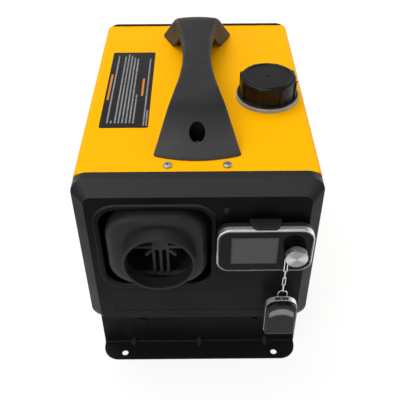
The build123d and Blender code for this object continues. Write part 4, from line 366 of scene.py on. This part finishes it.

# %% [markdown]
# ## Grained handle plastic
# The handle is moulded in dark grey plastic with a spark-eroded grain, rougher than the
# paint, which scatters light into a soft grey. The grain is far too fine to model, so it is
# a bump made from two sizes of noise. The sloping feet are painted a little paler than the
# grip, a painted light where they face the lamps, and the edges get a painted highlight.
# Deep screw bores read as black holes, so the plastic is darkened round each screw's axis,
# a painted shade.

# %% Grained handle plastic
GRIP_TO_FEET = (0.316, 0.290)  # heights above the floor
BORE_RIM = (8.6 * MM, 8.3 * MM)  # distances from a screw's axis
BORE_SHADE_BLACK = (0.002, 0.002, 0.002)
EDGE_HIGHLIGHT_GREY = (0.06, 0.06, 0.065)
handle_plastic, tree, shader = new_finish("grained handle plastic", (0.032, 0.032, 0.034), 0.5, gloss=0.12)
where = place_on(tree)
soft = eased(tree, radius=1.2 * MM)
cloud = patches(tree, where, scale=22.0, detail=4.0)
grip = tint(tree, cloud, (0.021, 0.021, 0.023), (0.027, 0.027, 0.029))
# painted light: the sloping feet are painted paler than the grip
feet = tint(tree, cloud, (0.050, 0.050, 0.052), (0.062, 0.062, 0.064))
axes = axes_of(tree, where)
skin = tint(tree, spread(tree, axes["Z"], GRIP_TO_FEET), grip, feet)
screws_low, screws_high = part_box("handle_screws")
bore_y = screws_high.y - (screws_high.x - screws_low.x) / 2
past_bore = maths(tree, "SUBTRACT", maths(tree, "ABSOLUTE", axes["Y"]), bore_y)
to_bore = add_node(tree, "ShaderNodeCombineXYZ", {"X": axes["X"], "Y": past_bore}).outputs[0]
# painted shade inside the screw bores
skin = tint(tree, spread(tree, vector_maths(tree, "LENGTH", to_bore), BORE_RIM), skin, BORE_SHADE_BLACK)
# painted highlight: the edges are painted paler
paint(tree, shader, tint(tree, edge_mask(tree, soft), skin, EDGE_HIGHLIGHT_GREY),
      patches(tree, where, scale=60.0, levels=(0.46, 0.6)))
coarse_grain = noise(tree, where, scale=900.0, detail=3.0)
fine_grain = noise(tree, where, scale=2600.0, detail=2.0)
coarse = bumped(tree, shader, coarse_grain, strength=0.30, distance=0.16 * MM, over=soft)
bumped(tree, shader, fine_grain, strength=0.18, distance=0.06 * MM, over=coarse)
print("handle screws:", round(bore_y / MM, 1), "mm from the middle, front and rear")

# %% [markdown]
# ## Satin moulded plastic
# The hot-air hood, its guard and the heater's shells are glass-filled nylon, which comes
# from the mould satin black with faint, cloudy flow marks. Each could have a finish of its
# own, but they differ only in how dark and how rough they are, so one helper makes them all.

# %% Satin moulded plastic
def satin_plastic(name, level, rough):
    finish, tree, shader = new_finish(name, (level, level, level * 1.03), rough, gloss=0.16)
    where = place_on(tree)
    soft = eased(tree, radius=0.6 * MM)
    flow = spread(tree, noise(tree, where, scale=35.0, detail=6.0, rough=0.65), (0.35, 0.65))
    skin = tint(tree, flow, (level * 0.85,) * 3, (level * 1.15,) * 3)
    # painted highlight: the edges are painted paler
    paint(tree, shader, tint(tree, edge_mask(tree, soft), skin, (level * 1.9,) * 3),
          spread(tree, flow, (0.0, 1.0), (rough - 0.04, rough + 0.06)))
    grain = noise(tree, where, scale=1800.0, detail=2.0)
    bumped(tree, shader, grain, strength=0.15, distance=0.08 * MM, over=soft)
    return finish


satin = satin_plastic("satin moulded plastic", level=0.024, rough=0.42)
guard_plastic = satin_plastic("guard plastic", level=0.075, rough=0.45)
ring_grey = satin_plastic("grey ring plastic", level=0.38, rough=0.45)
button_grey = satin_plastic("button plastic", level=0.09, rough=0.5)

# %% [markdown]
# ## Polished black plastic
# The fuel cap, the fob's case and the controller's window are polished. A clear coat could
# be laid over them, but these are one solid plastic, and a smooth, nearly black base already
# looks deep. Fine scratches keep it from looking like a mirror.

# %% Polished black plastic
def polished_black(name, level, rough, gloss, scratches):
    finish, tree, shader = new_finish(name, (level, level, level), rough, gloss=gloss)
    where = place_on(tree)
    soft = eased(tree, radius=0.5 * MM)
    wiped = stretched(tree, where, (40.0, 900.0, 300.0), turn=(0.3, 0.8, 0.5))
    hairline = spread(tree, noise(tree, wiped, scale=1.0, detail=3.0), (0.60, 0.75))
    # painted highlight: the edges are painted paler
    paint(tree, shader, tint(tree, edge_mask(tree, soft), (level,) * 3, (level * 2.0,) * 3),
          spread(tree, hairline, (0.0, 1.0), (rough, rough + scratches)))
    waves = noise(tree, where, scale=260.0, detail=2.0)
    bumped(tree, shader, waves, strength=0.05, distance=0.1 * MM, over=soft)
    return finish


cap_black = polished_black("fuel cap plastic", level=0.004, rough=0.32, gloss=0.22, scratches=0.16)
case_black = polished_black("fob case plastic", level=0.006, rough=0.14, gloss=0.3, scratches=0.10)
window_black = polished_black("controller window", level=0.003, rough=0.06, gloss=0.12, scratches=0.05)

# %% [markdown]
# ## Bare metals
# Zinc-plated screws are a cool, slightly blotched silver. Plain steel is warmer and darker.
# A perfectly smooth metal shows nothing but its surroundings, so one helper gives each of
# them a metallic base whose colour and roughness wander, with a fine brushing that runs
# level round the piece.

# %% Bare metals
def bare_metal(name, colour, rough, blotch=0.12, brushing=0.10):
    finish, tree, shader = new_finish(name, colour, rough, metallic=1.0)
    where = place_on(tree)
    cloud = patches(tree, where, scale=160.0, detail=5.0)
    dull = tuple(part * (1.0 - blotch) for part in colour)
    paint(tree, shader, tint(tree, cloud, dull, colour),
          spread(tree, cloud, (0.0, 1.0), (rough * 0.8, rough * 1.25)))
    drawn = noise(tree, stretched(tree, where, (60.0, 60.0, 2400.0)), scale=1.0, detail=2.0)
    bumped(tree, shader, drawn, strength=brushing, distance=0.05 * MM, over=eased(tree, radius=0.35 * MM))
    return finish


zinc = bare_metal("zinc plate", (0.42, 0.46, 0.50), rough=0.34)
steel = bare_metal("plain steel", (0.50, 0.49, 0.47), rough=0.36, blotch=0.25)
wire_steel = bare_metal("bright wire", (0.78, 0.78, 0.78), rough=0.16, blotch=0.10, brushing=0.05)
brass = bare_metal("turned brass", (0.78, 0.58, 0.24), rough=0.30, blotch=0.20)
casting = bare_metal("cast aluminium", (0.62, 0.62, 0.63), rough=0.48, blotch=0.15, brushing=0.25)

# %% [markdown]
# ## Bright trim
# The controller's frame and the fob's rim are plated plastic. It could be a plain mirror, as
# real plating is, but a mirror shows whatever lies in front of it: here the black panel. So
# faces that look up get a rougher sheen that gathers the light from above, and faces that
# look forward stay smooth; the colour of each is a painted reflection, much darker in front on
# the fob. On the controller's frame only a thin line round the outside catches the light, so
# its front is painted darker inwards from its rounded outline. All edges get a painted glint.

# %% Distance in from a rounded outline
def in_from_outline(tree, where, piece, corner):
    """How far a point lies inside the piece's rounded outline, seen from the front."""
    low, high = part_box(piece)
    straight = (high - low) / 2 - Vector((corner, 0, corner))
    straight.y = 1.0  # a metre, which no point of the piece passes, so depth never counts
    offset = vector_maths(tree, "SUBTRACT", where, (low + high) / 2)
    offset = vector_maths(tree, "ABSOLUTE", offset)
    past = vector_maths(tree, "SUBTRACT", offset, straight)
    past = vector_maths(tree, "MAXIMUM", past, (0, 0, 0))
    return maths(tree, "SUBTRACT", corner, vector_maths(tree, "LENGTH", past))


# %% Bright trim
BEZEL_CORNER = 14.0 * MM
LINE_ENDS = (0.8 * MM, 1.2 * MM)  # distances in from the outline
INNER_GREY = (0.10, 0.10, 0.10)
EDGE_GLINT = (0.85, 0.85, 0.86)


def bright_trim(name, forward, upward, mirror=1.0, outlined=None):
    finish, tree, shader = new_finish(name, forward, 0.1, metallic=mirror)
    where = place_on(tree)
    soft = eased(tree, radius=0.3 * MM)
    if outlined:
        inwards = in_from_outline(tree, where, outlined, BEZEL_CORNER)
        # painted reflection: the frame's front is painted darker inwards from its outline
        forward = tint(tree, spread(tree, inwards, LINE_ENDS), forward, INNER_GREY)
    rise = spread(tree, axes_of(tree, facing(tree))["Z"], (0.1, 0.6))
    cloud = patches(tree, where, scale=240.0, detail=4.0, levels=(0.85, 1.0))
    # painted reflection: faces looking up and faces looking forward get their own colours
    plate = scaled(tree, tint(tree, rise, forward, upward), cloud)
    # painted glint along the edges
    paint(tree, shader, tint(tree, edge_mask(tree, soft), plate, EDGE_GLINT),
          spread(tree, rise, (0.0, 1.0), (0.10, 0.48)))
    tree.links.new(soft, shader.inputs["Normal"])
    return finish


bezel_plate = bright_trim("bezel plating", forward=(0.78, 0.79, 0.80), upward=(0.72, 0.72, 0.74),
                          outlined="controller_bezel")
fob_plate = bright_trim("fob plating", forward=(0.40, 0.40, 0.41), upward=(0.95, 0.95, 0.96), mirror=0.70)

# %% [markdown]
# ## Knob
# The knob is turned from aluminium. The tool leaves circles on its face, which fan the light
# into wedges. A shader that draws out its highlights could make the wedges, but they would
# turn with the view; here they are painted highlights in the colour, from the angle about the
# knob's own axis, so they stay put on the metal. The circles are a bump about the same axis
# and a painted shade in the colour, and the knurl on the side is two crossed sets of grooves
# that wind round it, with painted light and shade along them.

# %% Place on the knob
knob_low, knob_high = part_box("knob")
knob_axis = (knob_low + knob_high) / 2
knob_radius = (knob_high.x - knob_low.x) / 2
turned, tree, shader = new_finish("turned aluminium", (0.55, 0.55, 0.56), 0.34, metallic=1.0)
to_axis = (-knob_axis.x, 0.0, -knob_axis.z)
on_knob = axes_of(tree, stretched(tree, place_on(tree), (1.0, 1.0, 1.0), shift=to_axis))
angle = maths(tree, "ARCTAN2", on_knob["Z"], on_knob["X"])
upright = maths(tree, "MULTIPLY", on_knob["Z"], on_knob["Z"])
from_axis = maths(tree, "SQRT", maths(tree, "MULTIPLY_ADD", on_knob["X"], on_knob["X"], upright))
on_side = spread(tree, from_axis, (knob_radius - 0.5 * MM, knob_radius - 0.3 * MM))
print("knob axis:", [round(v, 4) for v in knob_axis], "radius:", round(knob_radius, 4))

# %% Circles and wedges on the knob's face
WEDGE_PAIRS = 2.0
WEDGE_TURN = -0.25
CIRCLES = 9000.0
circles = maths(tree, "SINE", maths(tree, "MULTIPLY", from_axis, CIRCLES))
wedges = maths(tree, "COSINE", maths(tree, "MULTIPLY_ADD", angle, WEDGE_PAIRS, WEDGE_TURN))
# painted shade of the turned circles
circle_shade = spread(tree, circles, (-1.0, 1.0), (0.88, 1.0))
# painted highlights: the wedges of light on the face
wedge_shade = spread(tree, wedges, (-0.2, 1.0), (0.30, 0.62))
face_level = maths(tree, "MULTIPLY", circle_shade, wedge_shade)
print("circles:", round(2 * math.pi / CIRCLES / MM, 2), "mm apart")

# %% Knurl on the knob's side
KNURL_ROUND = 38.0
KNURL_ALONG = 3800.0
grooves = []
for winding in (KNURL_ALONG, -KNURL_ALONG):
    along_side = maths(tree, "MULTIPLY", on_knob["Y"], winding)
    grooves.append(maths(tree, "SINE", maths(tree, "MULTIPLY_ADD", angle, KNURL_ROUND, along_side)))
knurl = maths(tree, "MAXIMUM", *grooves)
# painted light and shade along the knurl's grooves
side_level = spread(tree, knurl, (0.2, 1.0), (0.42, 0.10))
print("knurl:", int(KNURL_ROUND), "grooves each way")

# %% Knob
face_or_side = add_node(tree, "ShaderNodeMix", {"Factor": on_side, "A": face_level, "B": side_level})
paint(tree, shader, grey_of(tree, face_or_side.outputs["Result"]))
soft = eased(tree, radius=0.3 * MM)
turned_face = bumped(tree, shader, circles, strength=0.15, distance=0.02 * MM, over=soft)
side_grooves = maths(tree, "MULTIPLY", knurl, on_side)
bumped(tree, shader, side_grooves, strength=0.5, distance=0.15 * MM, over=turned_face)
print("knob: face within", round((knob_radius - 0.5 * MM) / MM, 1), "mm of the axis, side beyond")

# %% [markdown]
# ## Rubber, hose and tank plastics
# Rubber is matt with a dusty bloom. The tank and the small filter are milky plastics that
# let some light in. A paler colour would only make them chalky, so they get a little
# scattering under the surface instead.

# %% Rubber
rubber, tree, shader = new_finish("black rubber", (0.018, 0.018, 0.018), 0.75, gloss=0.3)
where = place_on(tree)
bloom = spread(tree, noise(tree, where, scale=90.0, detail=5.0), (0.45, 0.75))
paint(tree, shader, tint(tree, bloom, (0.014, 0.014, 0.014), (0.045, 0.044, 0.042)))
bumped(tree, shader, noise(tree, where, scale=1500.0, detail=2.0), strength=0.2, distance=0.08 * MM)


# %% Milky plastics
def milky_plastic(name, colour, rough, depth):
    finish, tree, shader = new_finish(name, colour, rough, gloss=0.4)
    shader.inputs["Subsurface Weight"].default_value = 0.25
    shader.inputs["Subsurface Scale"].default_value = depth
    where = place_on(tree)
    shade = tuple(part * 0.9 for part in colour)
    paint(tree, shader, tint(tree, patches(tree, where, scale=25.0, detail=4.0), shade, colour))
    bumped(tree, shader, noise(tree, where, scale=500.0, detail=2.0), strength=0.08, distance=0.1 * MM)
    return finish


tank_plastic = milky_plastic("tank polyethylene", (0.78, 0.77, 0.70), rough=0.45, depth=4 * MM)
filter_plastic = milky_plastic("filter housing", (0.72, 0.70, 0.60), rough=0.25, depth=2 * MM)
line_plastic = milky_plastic("fuel line nylon", (0.06, 0.22, 0.12), rough=0.35, depth=1 * MM)

# %% [markdown]
# ## Sticker
# The black sticker on the top is printed with ruled grey lines that run along its length, in
# two groups that each begin with a short orange bar. A picture could carry them, but lines
# this plain are easier to place by number: each one is a strip between two sides and two
# ends, written as fractions of the sticker, and one noise breaks all of them into dashes.

# %% Strips on a sticker
def strips(tree, across, along, width, places):
    """1 on each strip: its middle across the sticker, its first end and its last end."""
    ink = None
    for middle, first, last in places:
        inside = between(tree, across, middle - width / 2, middle + width / 2)
        strip = maths(tree, "MULTIPLY", inside, between(tree, along, first, last))
        ink = strip if ink is None else maths(tree, "MAXIMUM", ink, strip)
    return ink


# %% Lines and bars
LINE_WIDTH = 0.032
BAR_WIDTH = 0.045
GREY_LINES = [(0.15, 0.05, 0.95), (0.23, 0.05, 0.08), (0.31, 0.05, 0.94), (0.385, 0.05, 0.97),
              (0.46, 0.05, 0.95), (0.535, 0.05, 0.92), (0.61, 0.05, 0.90), (0.685, 0.05, 0.40),
              (0.90, 0.02, 0.90), (0.955, 0.02, 0.20)]
ORANGE_BARS = [(0.07, 0.33, 0.67), (0.80, 0.38, 0.61)]
sticker_low, sticker_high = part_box("top_sticker")
sticker_size = sticker_high - sticker_low
sticker, tree, shader = new_finish("printed sticker", (0.010, 0.010, 0.011), 0.36, gloss=0.15)
where = place_on(tree)
axes = axes_of(tree, where)
across = maths(tree, "MULTIPLY_ADD", axes["X"], 1 / sticker_size.x, -sticker_low.x / sticker_size.x)
along = maths(tree, "MULTIPLY_ADD", axes["Y"], 1 / sticker_size.y, -sticker_low.y / sticker_size.y)
lines = strips(tree, across, along, LINE_WIDTH, GREY_LINES)
bars = strips(tree, across, along, BAR_WIDTH, ORANGE_BARS)
print("sticker:", [round(v / MM, 1) for v in sticker_size], "mm,", len(GREY_LINES), "lines")

# %% Dashes and ink
DASHES_ALONG = 90.0
DASHES_ACROSS = 27.0
LINE_GREY = (0.27, 0.27, 0.28)
BAR_ORANGE = (0.62, 0.22, 0.05)
dash_steps = {"X": maths(tree, "MULTIPLY", along, DASHES_ALONG),
              "Y": maths(tree, "MULTIPLY", across, DASHES_ACROSS)}
dash_place = add_node(tree, "ShaderNodeCombineXYZ", dash_steps).outputs[0]
dashes = spread(tree, noise(tree, dash_place, scale=1.0, detail=1.0), (0.36, 0.42), (0.25, 1.0))
lines = maths(tree, "MULTIPLY", lines, dashes)
blank = tint(tree, patches(tree, where, scale=45.0), (0.009, 0.009, 0.010), (0.014, 0.014, 0.015))
printed = tint(tree, lines, blank, LINE_GREY)
paint(tree, shader, tint(tree, bars, printed, BAR_ORANGE), spread(tree, lines, (0.0, 1.0), (0.34, 0.5)))
bumped(tree, shader, noise(tree, where, scale=700.0, detail=2.0), strength=0.05, distance=0.05 * MM)
print("ink:", len(GREY_LINES), "dashed lines and", len(ORANGE_BARS), "bars")

# %% [markdown]
# ## Display and circuit board
# A display could glow, but this one is off: a plain dull grey under its film, a little
# darker towards its rim. The control board inside is green lacquer, under which the copper
# tracks show as a paler green. Little of it is ever seen, so a plain pattern of bricks
# stands in for the tracks.

# %% Display
FILM_GREY = (0.080, 0.082, 0.083)
RIM_GREY = (0.04, 0.041, 0.042)
RIM_BEGINS = 0.90
screen_low, screen_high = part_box("lcd_screen")
screen_mid = (screen_low + screen_high) / 2
screen_half = (screen_high - screen_low) / 2
display, tree, shader = new_finish("display film", (0.075, 0.077, 0.078), 0.3, gloss=0.35)
where = place_on(tree)
to_rim = stretched(tree, where, (1 / screen_half.x, 0.0, 1 / screen_half.z),
                   shift=(-screen_mid.x / screen_half.x, 0.0, -screen_mid.z / screen_half.z))
sides = axes_of(tree, vector_maths(tree, "ABSOLUTE", to_rim))
nearest = maths(tree, "MAXIMUM", sides["X"], sides["Z"])
paint(tree, shader, tint(tree, spread(tree, nearest, (RIM_BEGINS, 1.0)), FILM_GREY, RIM_GREY))
bumped(tree, shader, noise(tree, where, scale=400.0, detail=2.0), strength=0.03, distance=0.05 * MM)
print("display:", [round(2 * v / MM, 1) for v in screen_half], "mm")

# %% Circuit board
LACQUER = (0.01, 0.14, 0.05, 1)
DEEP_LACQUER = (0.01, 0.10, 0.04, 1)
TRACK_GREEN = (0.02, 0.22, 0.08, 1)
board, tree, shader = new_finish("board lacquer", (0.01, 0.12, 0.05), 0.3)
track_inputs = {"Vector": place_on(tree), "Scale": 120.0, "Mortar Size": 0.06,
                "Color1": LACQUER, "Color2": DEEP_LACQUER, "Mortar": TRACK_GREEN}
tracks = add_node(tree, "ShaderNodeTexBrick", track_inputs)
paint(tree, shader, tracks.outputs["Color"])
bumped(tree, shader, tracks.outputs["Fac"], strength=0.2, distance=0.05 * MM)

# %% [markdown]
# ## Fob cover
# The sliding cover of the remote is polished black, with a grey thumb pad shaped like the
# new moon. The measured cover already has the pad sunk into it. Its faces could be picked
# out one by one, but they are easier to find by place: the pad is what lies inside one
# circle and outside a second, larger one below it, and both circles are placed from the
# cover's own box.

# %% Circles on the fob's cover
def inside_circle(tree, where, x, z, radius):
    """1 inside a circle that is seen from the front, otherwise 0."""
    offset = stretched(tree, where, (1.0, 0.0, 1.0), shift=(-x, 0.0, -z))
    return spread(tree, vector_maths(tree, "LENGTH", offset), (radius + 0.1 * MM, radius - 0.1 * MM))


# %% Thumb pad
PAD_BELOW_TOP = 6.8 * MM
PAD_ROUND = 16.4 * MM
PAD_THICK = 10.3 * MM
PAD_HALF = 13.6 * MM
CUT_ROUND = 18.7 * MM
slide_low, slide_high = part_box("fob_slide")
slide_x = (slide_low.x + slide_high.x) / 2
pad_top = slide_high.z - PAD_BELOW_TOP
fob_cover, tree, shader = new_finish("fob cover", (0.010, 0.010, 0.010), 0.2, gloss=0.2)
where = place_on(tree)
axes = axes_of(tree, where)
pad = inside_circle(tree, where, slide_x, pad_top - PAD_ROUND, PAD_ROUND)
cut = inside_circle(tree, where, slide_x, pad_top - PAD_THICK - CUT_ROUND, CUT_ROUND)
pad = maths(tree, "MULTIPLY", pad, maths(tree, "SUBTRACT", 1.0, cut))
pad = maths(tree, "MULTIPLY", pad, between(tree, axes["X"], slide_x - PAD_HALF, slide_x + PAD_HALF))
pad = maths(tree, "MULTIPLY", pad, maths(tree, "GREATER_THAN", axes["Z"], pad_top - PAD_ROUND))
print("thumb pad:", round(2 * PAD_HALF / MM, 1), "mm wide")

# %% Polish of the fob's cover
COVER_BLACK = (0.009, 0.009, 0.009)
COVER_EDGE_GLINT = (0.05, 0.05, 0.052)
brush_place = stretched(tree, where, (3000.0, 100.0, 100.0))
brushed = patches(tree, brush_place, scale=1.0, detail=2.0, levels=(0.34, 0.46))
soft = eased(tree, radius=0.4 * MM)
# painted highlight: the cover's edges are painted paler
gloss_black = tint(tree, edge_mask(tree, soft), COVER_BLACK, COVER_EDGE_GLINT)
paint(tree, shader, tint(tree, pad, gloss_black, grey_of(tree, brushed)),
      spread(tree, pad, (0.0, 1.0), (0.20, 0.38)))
waves = noise(tree, where, scale=900.0, detail=2.0)
bumped(tree, shader, waves, strength=0.05, distance=0.05 * MM, over=soft)
print("cover:", [round(v / MM, 1) for v in slide_high - slide_low], "mm")

# %% [markdown]
# ## Handing out the finishes
# Each measured piece keeps its shape and gets the finish that fits what it is made of. The
# list could run piece by piece, but most finishes serve several pieces, so it goes by finish.

# %% Hand out the finishes
finish_of = {
    yellow: ["top_cover"],
    black: ["front_panel", "rear_panel", "base_tray", "heater_stand", "controller_bracket"],
    bracket_black: ["end_brackets", "bracket_screws"],
    guard_plastic: ["outlet_guard"],
    bezel_plate: ["controller_bezel"],
    fob_plate: ["fob_frame"],
    handle_plastic: ["handle"],
    satin: ["outlet_cowl", "heater_shell_lower", "heater_shell_upper", "air_fan",
            "inlet_grille", "power_socket", "controller_body", "encoder_body", "intake_pipe"],
    cap_black: ["fuel_cap"],
    case_black: ["fob_shell"],
    window_black: ["controller_glass"],
    ring_grey: ["filler_ring"],
    button_grey: ["fob_button_1", "fob_button_2", "fob_button_3", "fob_button_4"],
    zinc: ["body_screws", "handle_screws", "handle_brace", "tank_strap"],
    steel: ["burner_tube", "glow_plug", "motor_body", "motor_shaft", "pump_body", "pump_plunger",
            "exhaust_pipe", "encoder_plunger", "encoder_shaft"],
    casting: ["heat_exchanger", "blower_plate", "burner_fan"],
    wire_steel: ["wire_loop", "chain_links"],
    turned: ["knob"],
    brass: ["tank_outlet"],
    rubber: ["cap_gasket", "tank_pads", "fuel_hoses", "pump_clamp"],
    tank_plastic: ["fuel_tank"],
    filter_plastic: ["fuel_filter"],
    line_plastic: ["fuel_line"],
    sticker: ["top_sticker"],
    display: ["lcd_screen"],
    board: ["control_board"],
    fob_cover: ["fob_slide"],
}
dressed = set()
for finish, names in finish_of.items():
    for name in names:
        for material_slot in parts[name].material_slots:
            material_slot.material = finish
        dressed.add(name)
print("finished pieces:", len(dressed), "without a finish:", sorted(set(parts) - dressed))
